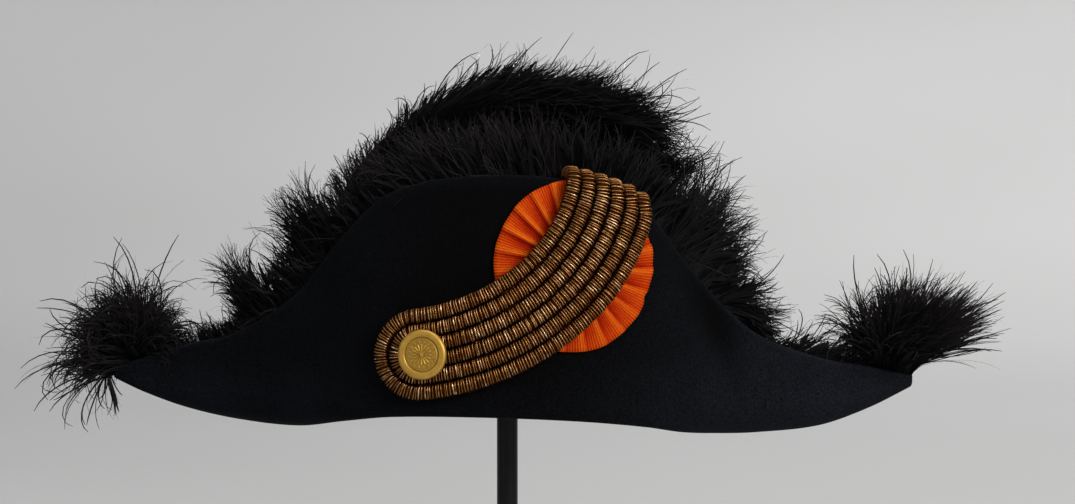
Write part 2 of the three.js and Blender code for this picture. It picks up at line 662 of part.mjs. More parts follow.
const hat = new THREE.Group();
hat.position.z = RIM_HEIGHT;
hat.add(
  named("crown", makeCrown(), FINISH.felt),
  named("brim", makeBrim(), FINISH.felt),
  named("feather_trim_front", makeTrim("front", TRIM_FRONT), FINISH.feather),
  named("feather_trim_back", makeTrim("back", TRIM_BACK), FINISH.feather),
  named("feather_tuft_left", makeTuft(TUFT_LEFT), FINISH.feather),
  named("feather_tuft_right", makeTuft(TUFT_RIGHT), FINISH.feather),
  named("cockade", makeCockade(), FINISH.ribbon),
  named("bullion_loop_outer", makeBullionLoop(STRAND_OFFSET.outer), FINISH.bullion),
  named("bullion_loop_middle", makeBullionLoop(STRAND_OFFSET.middle), FINISH.bullion),
  named("bullion_strand_upper", makeBullionStrand(STRAND_OFFSET.inner), FINISH.bullion),
  named("bullion_strand_lower", makeBullionStrand(-STRAND_OFFSET.inner), FINISH.bullion),
);

const button = named("button", makeButton(), FINISH.gilt);
const buttonSeat = onFrontFlap(BUTTON_PLACE.x, BUTTON_PLACE.y, 0);
button.position.copy(buttonSeat.point);
button.quaternion.setFromUnitVectors(new THREE.Vector3(0, 1, 0), buttonSeat.normal);
hat.add(button);

const stand = makeStand();
const part = new THREE.Group();
part.add(
  hat,
  named("stand_base", stand.foot, FINISH.stand),
  named("stand_rod", stand.rod, FINISH.stand),
  named("stand_rest", stand.rest, FINISH.stand),
);

export default part;
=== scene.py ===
"""Dresses a felt bicorne on its display stand: felt, ostrich trim, cockade, bullion, button and stand.

Sizes are in millimetres and are turned into metres when a mesh is made. Heights on the hat are measured
from its rim level, which is RIM_HEIGHT over the floor. X runs from point to point, -Y is the front.
"""

import math
from functools import partial
from types import SimpleNamespace as Sizes

import bpy
import numpy as np
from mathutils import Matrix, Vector


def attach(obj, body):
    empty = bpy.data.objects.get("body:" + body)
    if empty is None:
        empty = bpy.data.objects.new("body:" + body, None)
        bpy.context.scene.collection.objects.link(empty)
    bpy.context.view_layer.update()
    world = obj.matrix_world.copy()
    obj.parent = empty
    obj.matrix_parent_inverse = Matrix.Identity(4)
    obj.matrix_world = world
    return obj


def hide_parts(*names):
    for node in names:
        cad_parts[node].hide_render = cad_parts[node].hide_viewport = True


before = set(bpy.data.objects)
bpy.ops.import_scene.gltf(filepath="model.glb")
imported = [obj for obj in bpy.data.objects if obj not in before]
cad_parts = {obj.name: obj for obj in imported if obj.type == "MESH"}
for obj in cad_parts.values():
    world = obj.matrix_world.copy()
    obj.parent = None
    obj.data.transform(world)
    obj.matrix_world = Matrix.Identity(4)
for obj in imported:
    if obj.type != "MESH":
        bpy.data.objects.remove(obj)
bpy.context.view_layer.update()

MM = 0.001
UP = np.array([0.0, 0.0, 1.0])
# Reach of a turned piece's first and last ring, close to its axis
AXIS = 0.05

# Felt body
RIM_HEIGHT = 160
FELT_WALL = 2.6
SEAM_GAP = 0.35
SOFT_GAP = 0.7
FLAP_CURL = 1.8
DENT_FADE = 3
CROWN = Sizes(half_length=101, half_width=80, top=114, roundness=2.6, tip=0.002, sides=96, levels=28)

# The brim's cross sections from point to point: place along the hat, height of the underside, half width
# at the fold, radius of the turn-up, then height and half width of each flap's edge.
SECTION_COLUMNS = ("x", "keel", "fold", "turn", "front_edge", "front_half", "back_edge", "back_half")
SECTION_ROWS = (
    (-207, 22, 3.2, 3.2, 27.5, 3.4, 28.5, 3.4),
    (-190, 14, 6, 6, 33.5, 7.5, 33, 8),
    (-168, 6.3, 11, 10, 40.5, 13.5, 39, 14.5),
    (-141, 0.8, 20, 14, 47.5, 22.5, 48, 23.5),
    (-108, -0.5, 40, 14, 68.8, 39, 82, 38),
    (-83, 4.5, 60, 9, 99.4, 54, 129, 51),
    (-58, 8.4, 74.5, 6, 121.5, 63, 154, 58),
    (-14, 9.3, 84.5, 5, 130, 69, 165, 63),
    (36, 7, 81.5, 5, 127, 67, 163, 62),
    (71, 2.4, 67.5, 7, 111.5, 58.5, 146, 56),
    (90, -2.2, 53, 11, 87.5, 47.5, 117, 47),
    (108, -4.7, 38, 14, 66, 35.5, 81, 37),
    (130, -5.6, 25.5, 14, 47, 26, 47, 27.5),
    (164, -3, 13.5, 12, 33.5, 15.5, 30.5, 16.5),
    (190, 6, 7, 7, 28.5, 8.5, 27, 9),
    (213, 17.6, 3.2, 3.2, 23.2, 3.4, 24, 3.4),
)
# Painted light and shade on the felt along the hat: its middle is painted darkest and its right point
# lightest, where light falls on the right wing
PAINTED_LIGHT_ROWS = (
    (-207, 0.66),
    (-150, 0.5),
    (-85, 0.42),
    (-40, 0.24),
    (40, 0.26),
    (80, 0.44),
    (110, 0.68),
    (150, 0.92),
    (213, 0.85),
)
# It is painted lighter at its foot, where light falls on the lower flap, with a painted highlight along
# its top edges and painted shade in the dent
PAINTED_FELT_LIGHT = Sizes(foot=0.2, foot_heights=(5, 50), grime=0.19, wear=0.25, worn_rim=0.3)
BRIM_STATIONS = 190
WALL_STEPS = 22
TURN_STEPS = 5
FLOOR_STEPS = 8
EDGE_STEPS = 4
TIP_STEPS = 4
TIP_SHARE = 0.05
CUTTER_DEPTH = 30

# Soft dents of the front flap, and one swell as a negative depth: centre, lean of the groove from upright
# in degrees towards +X going down, half length, half width and depth.
DENT_ROWS = (
    (106, 56, 24, 34, 9, 4.0),
    (-78, 78, -20, 34, 16, -1.6),
)

# Bullion strap: the control points of its curved middle line on the front flap, as X and height, and the
# steps along its strands
CORD_RADIUS = 3.3
CORD_PITCH = 7.65
STRAP = ((51.3, 128), (49.6, 86.8), (12.4, 48), (-42.3, 41))
HOOK_DROP = 2
HOOK_STEPS = 25
INNER_STRAND_SHARE = 0.95
STRAND_SEARCH = 0.005
STRAND_STEPS = 80
LOOP_STEPS = 42
SMOOTHINGS = 3
# The coiled wire, the dark core under it that stands in for shade in the coil, and how the wire's tone varies
COIL = Sizes(half_width=3.36, half_height=2.8, squareness=0.58, wire=0.45, wire_sides=4, pitch=1.45,
             samples=14, wobble=0.17, slide=0.26)
# The core's flat foot spreads under the gaps between strands as painted shade
SHADE_CORE = Sizes(share=0.88, foot=1.16, foot_top=-0.1, foot_squareness=0.3, sides=12, steps=40, turns=3)
# The wire's tone drifts and varies by turn and sample at random, with a few painted glints
GOLD = Sizes(drift=0.03, drift_steps=24, turn=0.1, speckle=0.11, glint=0.6, glints=0.025, dull=0.36,
             dull_reach=30)
# Its strands: name, kind, place in pitches beside the strap's middle line, tone and seed
STRAND_ROWS = (
    ("outer", "loop", 2.5, 0.42, 21),
    ("middle", "loop", 1.5, 0.45, 22),
    ("upper", "strand", 0.5, 0.52, 23),
    ("lower", "strand", -0.5, 0.52, 24),
)

# The cockade, its pleats, and how light its ribbon is: painted shade makes it deep red in the creases and
# on the pleats' low sides, painted highlights make it orange on the crests and rib tops, and it is
# lighter towards the rim
COCKADE = Sizes(x=33.5, z=84.9, radius=42.7, aspect=0.935, thickness=1.5, pleat_depth=1.0, rise=6, ramp=26)
PLEATS = Sizes(count=23, ribs=8, steps=24, rings=16, centre=0.03, peak=0.78, height=1.25, mean=0.75, base=0.9,
               rib_height=0.22, ripple=0.2, ripples=9, rib_ripple=0.15, wave=0.5, waves=5, wave_start=1.1,
               under=0.02)
# How the pleats' height varies: waves round the disc, their share and where they start
UNEVEN_ROWS = ((3, 0.2, 0.7), (7, 0.15, 2))
NOTCH = Sizes(angle=-22, width=4, depth=1.4)
PLEAT_SHADING = Sizes(base=0.27, rib=0.48, rim=0.14, rim_start=0.6, rim_calm=0.75, depth=1.5, slope=0.3, shade=0.2,
             crest=0.32, crest_at=0.68, crest_width=0.13, crease=0.45, crease_at=0.93, crease_width=0.09)

# The button with its rosette, and how bright its parts are, with painted shade in the incised groove
BUTTON_PLACE = (-39.2, 41.1)
BUTTON = Sizes(radius=12.5, rim=3.9, thickness=3.6, recess=0.45, shank=1.8, spokes=128, rings=24)
ROSETTE = Sizes(petals=16, relief=0.4, ray_start=(0.6, 1.4), ray_end=(4.6, 5.6), ray_power=1.5,
                bead_reach=6.3, bead_width=0.7, bead_power=3, bead_share=0.8, boss=0.9)
GILT = Sizes(rim=0.8, field=0.45, relief=0.5, groove=0.8, groove_width=0.35)

# Ostrich trims: for each place along the hat, the barbs' lean in degrees from +X, their reach past the
# edge, how far inside the felt they stand, which is more where the bullion turns over the edge, how
# thickly they grow, the share that falls over the edge, the share of long strays, and their tone from
# black to brownish grey, raised in the middle of the front trim as a painted sheen.
TRIM_COLUMNS = ("x", "lean", "reach", "inset", "growth", "over", "strays", "tone")
TRIM_FRONT_ROWS = (
    (-178, 112, 7, 3, 0.2, 0.03, 0.02, 0.1),
    (-163, 114, 11, 5, 0.6, 0.03, 0.06, 0.1),
    (-149, 118, 13, 7, 0.8, 0.03, 0.1, 0.1),
    (-136, 122, 16, 8, 0.9, 0.03, 0.02, 0.1),
    (-128, 124, 43, 8, 2.4, 0.03, 0.02, 0.1),
    (-121, 125, 44, 8, 2.4, 0.03, 0.02, 0.1),
    (-114, 138, 22, 9, 0.7, 0.03, 0.2, 0.1),
    (-107, 132, 29, 9, 1.5, 0.03, 0.12, 0.1),
    (-100, 128, 32, 9, 1.4, 0.03, 0.06, 0.1),
    (-94, 125, 52, 9, 2.3, 0.03, 0.02, 0.15),
    (-87, 124, 46, 9, 1.9, 0.03, 0.02, 0.15),
    (-79, 122, 23, 9, 0.9, 0.03, 0.05, 0.2),
    (-64, 130, 23, 9, 1.1, 0.03, 0.03, 0.35),
    (-45, 148, 31, 9, 1.4, 0.04, 0.01, 0.6),
    (-25, 128, 34, 9, 1.5, 0.04, 0, 0.7),
    (0, 116, 36, 13, 1.5, 0.02, 0, 0.7),
    (20, 106, 37, 19, 1.5, 0, 0, 0.6),
    (40, 84, 38, 22, 1.4, 0, 0, 0.35),
    (60, 62, 36, 22, 1.4, 0, 0, 0.2),
    (74, 48, 32, 18, 1.3, 0, 0.01, 0.1),
    (80, 52, 36, 15, 1.5, 0, 0.03, 0.1),
    (86, 46, 54, 12, 2.6, 0.02, 0.03, 0.1),
    (94, 32, 50, 9.5, 2.6, 0.02, 0.02, 0.05),
    (101, 22, 30, 9.5, 1.5, 0.02, 0.06, 0.05),
    (108, 9, 35, 9.5, 2.6, 0.02, 0.03, 0.05),
    (115, -12, 30, 9, 2.6, 0.02, 0.03, 0.05),
    (122, -14, 19, 9, 1.3, 0.02, 0.1, 0.05),
    (132, 22, 6, 8, 0.2, 0, 0.12, 0.1),
    (144, 26, 14, 7, 0.6, 0, 0.15, 0.1),
    (157, 29, 18, 6, 1.0, 0, 0.08, 0.1),
    (172, 28, 17, 4.5, 0.85, 0, 0.04, 0.1),
    (188, 16, 9, 3, 0.4, 0, 0, 0.1),
)
TRIM_BACK_ROWS = (
    (-178, 126, 6, 3, 0.15, 0, 0, 0.1),
    (-160, 130, 8, 5, 0.25, 0, 0, 0.1),
    (-130, 126, 15, 8, 0.5, 0, 0.02, 0.1),
    (-100, 124, 16, 8, 0.5, 0, 0.04, 0.1),
    (-84, 112, 12, 8, 0.4, 0, 0.06, 0.1),
    (-66, 76, 9, 8, 0.3, 0, 0.1, 0.1),
    (-50, 55, 24, 8, 0.7, 0, 0.1, 0.1),
    (-36, 40, 46, 8, 1.5, 0.02, 0.02, 0.1),
    (-12, 28, 52, 8, 1.8, 0.04, 0.01, 0.1),
    (20, 16, 49, 8, 1.8, 0.04, 0.01, 0.1),
    (45, 4, 45, 8, 1.8, 0.04, 0.01, 0.1),
    (64, -10, 34, 8, 1.2, 0.04, 0.06, 0.1),
    (76, -20, 20, 8, 0.6, 0.04, 0.1, 0.1),
    (87, 46, 26, 8, 0.4, 0, 0.25, 0.1),
    (100, 60, 32, 8, 0.45, 0, 0.3, 0.1),
    (113, 45, 24, 8, 0.4, 0, 0.15, 0.1),
    (130, 18, 8, 8, 0.25, 0, 0.05, 0.1),
    (168, 22, 7, 4.5, 0.2, 0, 0, 0.1),
    (188, 26, 6, 3, 0.2, 0, 0, 0.1),
)
# How the trims' barbs vary: lean, tilt and curl by clump and by barb, other pairs as ends of a range
TRIM = Sizes(
    barbs=4200, clumps=210, clump_mix=0.35, stations=500, under=0.15, longest=49, follow=0.6, fine=0.5,
    drop=12, least_drop=0.3, drop_inset=9, over_drop=1.5, depth=(0.6, 1.3), near=1.2, near_share=0.25,
    lean=(5, 4), under_lean=12, stray_lift=(-0.2, 0.6), tilt=(6, 9), curl=(12, 15), stray_curl=1.6,
    fall=(20, 95), fall_tilt=(2, 16), clump_reach=(0.12, 0.7, 1.2), under_reach=(0.35, 0.68),
    stray_reach=(1.0, 1.5), over_reach=(0.3, 0.75), settle=1.7, settle_ends=(0.25, 0.6), hook=45, droop=0.3,
    gather=0.7, gather_less=0.9, width=(0.7, 1.3), under_turn=0.4, tone=(0.6, 1.1), clump_tone=0.12,
)

# Ostrich tufts: the barbs' lean in degrees from +X, their reach from the root, how thickly they grow, how
# far their tips hook round in degrees, and the share of long wisps
TUFT_COLUMNS = ("lean", "reach", "growth", "hook", "wisps")
TUFT_LEFT_ROWS = (
    (0, 17, 0.5, 80, 0),
    (25, 26, 0.9, 80, 0.01),
    (50, 34, 1.2, 80, 0.015),
    (72, 43, 1.6, 80, 0.03),
    (92, 47, 1.7, 80, 0.04),
    (112, 45, 1.7, 90, 0.03),
    (130, 42, 1.6, 100, 0.03),
    (150, 43, 1.3, 110, 0.05),
    (168, 42, 0.9, 110, 0.07),
    (182, 40, 0.6, 90, 0.07),
    (194, 34, 0.2, 70, 0.05),
    (206, 38, 0.03, 60, 0),
    (228, 40, 0.03, 50, 0),
    (250, 28, 0.03, 30, 0),
    (270, 26, 0.05, 30, 0),
    (290, 24, 0.03, 30, 0),
)
TUFT_RIGHT_ROWS = (
    (8, 40, 0.02, 25, 0.3),
    (24, 50, 0.04, 15, 0.2),
    (36, 56, 1.3, 15, 0.04),
    (50, 56, 1.9, 20, 0.03),
    (66, 54, 1.8, 25, 0.03),
    (84, 50, 1.6, 30, 0.03),
    (102, 45, 1.0, 50, 0.03),
    (118, 50, 0.25, 85, 0.03),
    (132, 50, 0.12, 95, 0.03),
    (150, 39, 0.05, 95, 0.03),
)
TUFT_LEFT = dict(rows=TUFT_LEFT_ROWS, root_first=-207, root_last=-190, curl=30, wisp=1.5, blades=(18, 165),
                 seed=31)
TUFT_RIGHT = dict(rows=TUFT_RIGHT_ROWS, root_first=192, root_last=211, curl=8, wisp=1.25, blades=(46, 140),
                  seed=47)
# How the tufts' barbs vary, as for the trims
TUFT = Sizes(
    barbs=2800, clumps=150, stations=300, least_growth=0.02, under=0.24, under_tone=-0.3, gather=0.5,
    hanging=200, hanging_lean=34, hanging_root=0.5, hanging_start=(-1, 0, -0.1), hanging_width=1.2,
    barb_lean=5, wisp_lean=14, tilt=(27, 9), most_tilt=66, clump_reach=(0.1, 0.75, 1.15),
    under_reach=(0.35, 0.55), wisp_reach=(0.7, 1), root_mix=0.16, root_side=0.5, root_depth=(0.5, 4),
    root_length=4, low=(130, 185), start=0.5, settle=0.3, curl=(0.5, 0.6), wisp_curl=(0.3, 1.6), hook=1.6,
    hook_power=1.7, most_hook=120, hook_bend=0.35, wisp_droop=0.3, droop=0.2, width=(0.8, 1.4),
    wisp_width=1.3, tone=(0.2, 0.38), clump_tone=0.2,
)
# Single barbs: their widths, taper and tone, lighter at their tips as a painted highlight, how they vary in
# reach and sway, and the barbules on them
BARB = Sizes(
    steps=11, width=0.5, stray_width=0.62, under_width=2.2, taper=((0, 0.3, 0.85, 1), (0.8, 1, 0.85, 0.35)),
    twist=0.8, sway=0.5, full=1.05, shorter=0.5, shorter_power=1.6, clump_pull=(0.15, 1), pull=(0.5, 1),
    pull_power=1.5, under_tone=-1.2, tip_tone=0.3, barbules=26, barbule=1.3, barbule_width=0.24,
    barbule_ends=(0.15, 0.97), barbule_shift=0.015, barbule_reach=(0.5, 1.4), barbule_less=0.3, splay=0.6,
)
# A direction that few barbs follow, from which their sides are found
ASIDE = np.array([0.05, 0.99, 0.1])

STAND = Sizes(foot_radius=90, foot_height=10, foot_bevel=2, foot_edge=0.6, foot_band=20, rod_radius=5.5,
              rod_edge=0.4, rod_band=2, rod_rings=6, rest_radius=44, rest_dome=58, rest_edge=8, rest_rings=14,
              corner_steps=6, sides=96)

# Materials: colours as places on the tone and linear red, green and blue; the noise that stains them, as
# scale per metre and detail; the number on the mesh that the tone follows, and its share; the roughness that
# the noise gives; relief from a number on the mesh and noise, as depth in metres and strength; fixed values.
FELT = Sizes(nap=(1150, 5), nap_middle=0.35, nap_contrast=1.7, patches=(28, 4), patch_share=0.5)
FELT_RAMP = ((0.1, (0.0004, 0.0004, 0.0005)), (0.9, (0.0075, 0.0087, 0.0121)))
LOOKS = dict(
    # The feather's darkest stops are the painted shade of the broad under barbs
    feather=dict(
        ramp=((0, (0.0003, 0.0003, 0.0003)), (0.25, (0.0017, 0.0016, 0.0017)),
              (0.8, (0.0115, 0.0095, 0.0097))),
        stain=(160, 3), number="tone", share=0.5, Roughness=0.7, Specular_IOR_Level=0.08,
    ),
    # The ribbon's colour follows the fold number, its painted pleat shade and highlights
    ribbon=dict(
        ramp=((0.15, (0.16, 0.004, 0)), (0.5, (0.31, 0.018, 0.0005)), (0.85, (0.48, 0.083, 0.004))),
        stain=(900, 2), number="fold", share=0.75, relief=("rib", None, 0.0004, 0.8), Roughness=0.8,
        Specular_IOR_Level=0.03,
    ),
    # The wire's light end gives the painted glints their pale colour
    bullion=dict(
        ramp=((0.2, (0.08, 0.027, 0.008)), (0.5, (0.225, 0.098, 0.029)), (0.9, (0.78, 0.56, 0.34))),
        stain=(420, 3), number="tone", share=0.6, rough=(0.28, 0.48), Metallic=1.0,
    ),
    bullion_shade_core=dict(
        ramp=((0.3, (0.016, 0.0045, 0.001)), (0.7, (0.04, 0.012, 0.0025))),
        stain=(900, 2), Roughness=0.9, Specular_IOR_Level=0.02,
    ),
    gilt=dict(
        ramp=((0.1, (0.11, 0.055, 0.006)), (0.6, (0.34, 0.19, 0.025)), (0.95, (0.49, 0.3, 0.06))),
        stain=(260, 4), number="bright", share=0.6, relief=("field", (2400, 2), 0.00025, 0.5), Metallic=0.75,
        Roughness=0.5,
    ),
    stand=dict(
        ramp=((0.3, (0.002, 0.002, 0.0022)), (0.7, (0.0045, 0.0045, 0.0048))),
        stain=(140, 4), rough=(0.26, 0.4), relief=(None, (1500, 2), 0.0001, 0.15), Specular_IOR_Level=0.12,
    ),
    paper=dict(
        ramp=((0.3, (0.425, 0.422, 0.418)), (0.7, (0.465, 0.463, 0.46))),
        stain=(0.7, 2), Roughness=0.9,
    ),
)

# Camera and studio in metres and degrees, the lens and sensor in millimetres
CAMERA_DISTANCE = 1.6
CAMERA_ELEVATION = 3
CAMERA_TARGET = (0.0159, 0, 0.2482)
CAMERA_LENS = 102
CAMERA_SENSOR = 36
SWEEP = Sizes(rings=(0.01, 0.4, 0.9, 1.5), flat=2.2, bend=4.2, wall=0.3, below=0.0002, sides=96, steps=24)
SURROUND = Sizes(colour=(0.9, 0.92, 0.95, 1), strength=0.5)

# Lights: name, place, the place each is aimed at, width, spread in degrees, power and colour
LIGHT_ROWS = (
    ("key", (1.9, -1.9, 1.4), CAMERA_TARGET, 1.1, 180, 82, (1.0, 0.98, 0.95)),
    ("fill", (-1.8, -1.7, 0.9), CAMERA_TARGET, 1.8, 180, 10, (0.93, 0.96, 1.0)),
    ("top", (0.1, -0.3, 2.4), CAMERA_TARGET, 1.6, 180, 24, (1.0, 1.0, 1.0)),
    ("spark", (0.8, -1.6, 1.2), CAMERA_TARGET, 0.14, 180, 7, (1.0, 0.97, 0.92)),
    ("backdrop_left", (-1.9, 2.6, 2.2), (-1.2, 4.8, 0.8), 1.6, 180, 5, (1.0, 0.995, 0.985)),
    ("backdrop_right", (1.7, 2.4, 2.2), (0.9, 3.4, 0.1), 1.6, 180, 46, (0.985, 1.0, 0.99)),
    ("backdrop_top", (0.2, 2.4, 2.4), (0.2, 5.6, 1.7), 1.2, 180, 24, (1.0, 1.0, 1.0)),
    ("back", (-0.5, 2.3, 0.75), CAMERA_TARGET, 0.3, 18, 2.6, (0.97, 0.98, 1.0)),
)


def table(columns, rows):
    """A table as one array for each named column."""
    return {name: np.array(values, float) for name, values in zip(columns, zip(*rows))}


SECTIONS = table(SECTION_COLUMNS, SECTION_ROWS)
PAINTED_LIGHTS = table(("x", "painted_light"), PAINTED_LIGHT_ROWS)


def along(columns, name, places, key="x"):
    """A table's column at places, on a smooth curve."""
    keys = columns[key]
    values = columns[name]
    order = np.arange(len(keys))
    before = np.maximum(order - 1, 0)
    after = np.minimum(order + 1, len(keys) - 1)
    slopes = (values[after] - values[before]) / (keys[after] - keys[before])
    row = np.clip(np.searchsorted(keys, places) - 1, 0, len(keys) - 2)
    span = keys[row + 1] - keys[row]
    t = np.clip((places - keys[row]) / span, 0, 1)
    ease = t * t * (3 - 2 * t)
    leave = t * (1 - t) ** 2 * span * slopes[row]
    arrive = t * t * (t - 1) * span * slopes[row + 1]
    return values[row] * (1 - ease) + values[row + 1] * ease + leave + arrive


def unit(vectors):
    """Vectors of length one."""
    return vectors / np.maximum(np.linalg.norm(vectors, axis=-1, keepdims=True), 1e-9)


def smoothstep(low, high, values):
    """A smooth rise from 0 at low to 1 at high."""
    t = np.clip((values - low) / (high - low), 0, 1)
    return t * t * (3 - 2 * t)


def bell(values, middle, width):
    """A smooth hump of height one about a middle."""
    return np.exp(-(((values - middle) / width) ** 2))


def squared(wave, power):
    """A wave from -1 to 1 with fuller crests."""
    return np.sign(wave) * np.abs(wave) ** power


def circle(count):
    """Angles in equal steps round a circle."""
    return np.linspace(0, 2 * math.pi, count, endpoint=False)


def points_of(x, y, z):
    """Points from their coordinates."""
    return np.stack(np.broadcast_arrays(x, y, z), axis=-1)


def dent_depth(x, z):
    """How far the front flap is pressed in at places."""
    depth = 0
    for middle, height, degrees, length, width, deepest in DENT_ROWS:
        lean = math.radians(degrees)
        level = x - middle
        up = z - height
        across = bell(level * math.cos(lean) + up * math.sin(lean), 0, width)
        lengthwise = bell(up * math.cos(lean) - level * math.sin(lean), 0, length)
        depth = depth + deepest * across * lengthwise
    return depth


def outer_half_width(side, x, z):
    """Half width of the brim's outer face, front or back."""
    fold = along(SECTIONS, "fold", x)
    foot = along(SECTIONS, "keel", x) + along(SECTIONS, "turn", x)
    edge = along(SECTIONS, f"{side}_edge", x)
    half = along(SECTIONS, f"{side}_half", x)
    rise = np.clip((z - foot) / (edge - foot), 0, 1)
    dent = dent_depth(x, z) * np.minimum(1, DENT_FADE * rise) if side == "front" else 0
    return fold + (half - fold) * rise ** FLAP_CURL - dent


def front_slopes(x, z):
    """The front flap's slopes along X and with height."""
    step = 0.5
    slope_x = outer_half_width("front", x + step, z) - outer_half_width("front", x - step, z)
    slope_z = outer_half_width("front", x, z + step) - outer_half_width("front", x, z - step)
    return slope_x / (2 * step), slope_z / (2 * step)


def on_front_flap(x, z, lift=0.0):
    """Points over the front flap's face, and normals."""
    slope_x, slope_z = front_slopes(x, z)
    normal = unit(points_of(-slope_x, -1.0, -slope_z))
    point = points_of(x, -outer_half_width("front", x, z), z)
    return point + normal * np.asarray(lift)[..., None], normal


def grid_quads(rows, columns, wrap=False):
    """Quads of a grid of points, closed round where it wraps."""
    index = np.arange(rows * columns).reshape(rows, columns)
    index = np.hstack([index, index[:, :1]]) if wrap else index
    corners = (index[:-1, :-1], index[:-1, 1:], index[1:, 1:], index[1:, :-1])
    return np.stack(corners, axis=-1).reshape(-1, 4)


def triangles_of(quads):
    """Two triangles for each quad."""
    return np.concatenate([quads[:, [0, 1, 2]], quads[:, [0, 2, 3]]])


def joined(parts):
    """One set of points and faces from several."""
    offsets = np.cumsum([0] + [len(points) for points, _ in parts[:-1]])
    points = np.concatenate([points for points, _ in parts])
    faces = np.concatenate([faces + offset for (_, faces), offset in zip(parts, offsets)])
    return points, faces


def new_object(name, data):
    """An object of the scene from its data."""
    obj = bpy.data.objects.new(name, data)
    bpy.context.scene.collection.objects.link(obj)
    return obj


def new_mesh(name, points, faces, base=RIM_HEIGHT):
    """A smooth mesh object from arrays in millimetres over a base height."""
    mesh = bpy.data.meshes.new(name)
    places = ((points.reshape(-1, 3) + UP * base) * MM).astype(np.float32)
    mesh.vertices.add(len(places))
    mesh.vertices.foreach_set("co", places.ravel())
    mesh.loops.add(faces.size)
    mesh.loops.foreach_set("vertex_index", faces.astype(np.int32).ravel())
    mesh.polygons.add(len(faces))
    mesh.polygons.foreach_set("loop_start", np.arange(0, faces.size, faces.shape[1], dtype=np.int32))
    mesh.polygons.foreach_set("use_smooth", np.ones(len(faces), bool))
    mesh.update(calc_edges=True)
    mesh.validate()
    return new_object(name, mesh)


def grid_mesh(name, grid, base=RIM_HEIGHT):
    """A mesh from a grid of points that closes round its columns."""
    return new_mesh(name, grid, grid_quads(*grid.shape[:2], wrap=True), base)


def set_values(obj, name, values):
    """A named number on each vertex, for the materials."""
    attribute = obj.data.attributes.new(name, "FLOAT", "POINT")
    attribute.data.foreach_set("value", np.asarray(values, np.float32).ravel())


def add_piece(obj, node, material):
    """Makes an object stand for a solid of the frame."""
    obj.data.materials.append(material)
    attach(obj, "root")
    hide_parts(node)


class Shader:
    """A material made of nodes round one principled shader."""

    def __init__(self, name, **values):
        self.material = bpy.data.materials.new(name)
        self.material.use_nodes = True
        self.tree = self.material.node_tree
        self.surface = self.tree.nodes["Principled BSDF"]
        self.link(**values)

    def feed(self, socket, value):
        """Sets a socket or links another socket to it."""
        if isinstance(value, bpy.types.NodeSocket):
            self.tree.links.new(value, socket)
        else:
            socket.default_value = value

    def feed_all(self, node, inputs):
        """Feeds inputs of a node by their names, with underscores for spaces."""
        for name, value in inputs.items():
            self.feed(node.inputs[name.replace("_", " ")], value)

    def link(self, **inputs):
        """Feeds inputs of the principled shader."""
        self.feed_all(self.surface, inputs)

    def node(self, kind, **inputs):
        """A node with its inputs fed."""
        made = self.tree.nodes.new(f"ShaderNode{kind}")
        self.feed_all(made, inputs)
        return made

    def value(self, name):
        """A number stored on the mesh."""
        made = self.node("Attribute")
        made.attribute_name = name
        return made.outputs["Fac"]

    def noise(self, scale, detail):
        """Noise from 0 to 1 at a scale per metre."""
        place = self.node("TexCoord").outputs["Object"]
        return self.node("TexNoise", Scale=scale, Detail=detail, Vector=place).outputs["Fac"]

    def math(self, operation, first, second):
        """One sum on two numbers or sockets."""
        made = self.node("Math")
        made.operation = operation
        self.feed(made.inputs[0], first)
        self.feed(made.inputs[1], second)
        return made.outputs[0]

    def ramp(self, fac, stops):
        """Colours by a number: each stop is a place and a colour."""
        made = self.node("ValToRGB", Fac=fac)
        elements = made.color_ramp.elements
        while len(elements) < len(stops):
            elements.new(0.5)
        for element, (place, colour) in zip(elements, stops):
            element.position = place
            element.color = (*colour, 1)
        return made.outputs["Color"]

    def bump(self, height, distance, strength, **under):
        """A bumped normal from a height."""
        made = self.node("Bump", Height=height, Distance=distance, Strength=strength, **under)
        return made.outputs["Normal"]


def new_material(name):
    """A material from its row of looks."""
    return stained(name, **LOOKS[name])


def stained(name, ramp, stain, number=None, share=0.0, rough=None, relief=None, **values):
    """A material whose colour follows noise and a number on the mesh."""
    shader = Shader(name, **values)
    noise = shader.noise(*stain)
    tone = noise
    if number:
        part = shader.math("MULTIPLY", shader.value(number), share)
        tone = shader.math("ADD", part, shader.math("MULTIPLY", noise, 1 - share))
    shader.link(Base_Color=shader.ramp(tone, ramp))
    if rough:
        spread = shader.node("MapRange", Value=noise, To_Min=rough[0], To_Max=rough[1])
        shader.link(Roughness=spread.outputs["Result"])
    if relief:
        ridges, grain, distance, strength = relief
        height = shader.noise(*grain) if grain else 1.0
        height = shader.math("MULTIPLY", height, shader.value(ridges)) if ridges else height
        shader.link(Normal=shader.bump(height, distance, strength))
    return shader.material


def felt_material():
    """Blue-black felt with a short nap and faint unevenness, darkened and lightened by painted light and
    shade.
    """
    shader = Shader("felt", Roughness=0.95, Specular_IOR_Level=0.04, Sheen_Weight=0.012, Sheen_Roughness=0.5,
                    Sheen_Tint=(0.55, 0.66, 0.9, 1))
    nap = shader.noise(*FELT.nap)
    patches = shader.noise(*FELT.patches)
    speckle = shader.math("MULTIPLY", shader.math("SUBTRACT", nap, FELT.nap_middle), FELT.nap_contrast)
    grain = shader.math("ADD", speckle, shader.math("MULTIPLY", patches, FELT.patch_share))
    # The felt's tone is scaled by the painted light and shade stored on the mesh
    tone = shader.math("MULTIPLY", grain, shader.value("painted_light"))
    soft = shader.bump(patches, distance=0.0012, strength=0.35)
    napped = shader.bump(nap, distance=0.0003, strength=0.6, Normal=soft)
    shader.link(Base_Color=shader.ramp(tone, FELT_RAMP), Normal=napped)
    return shader.material


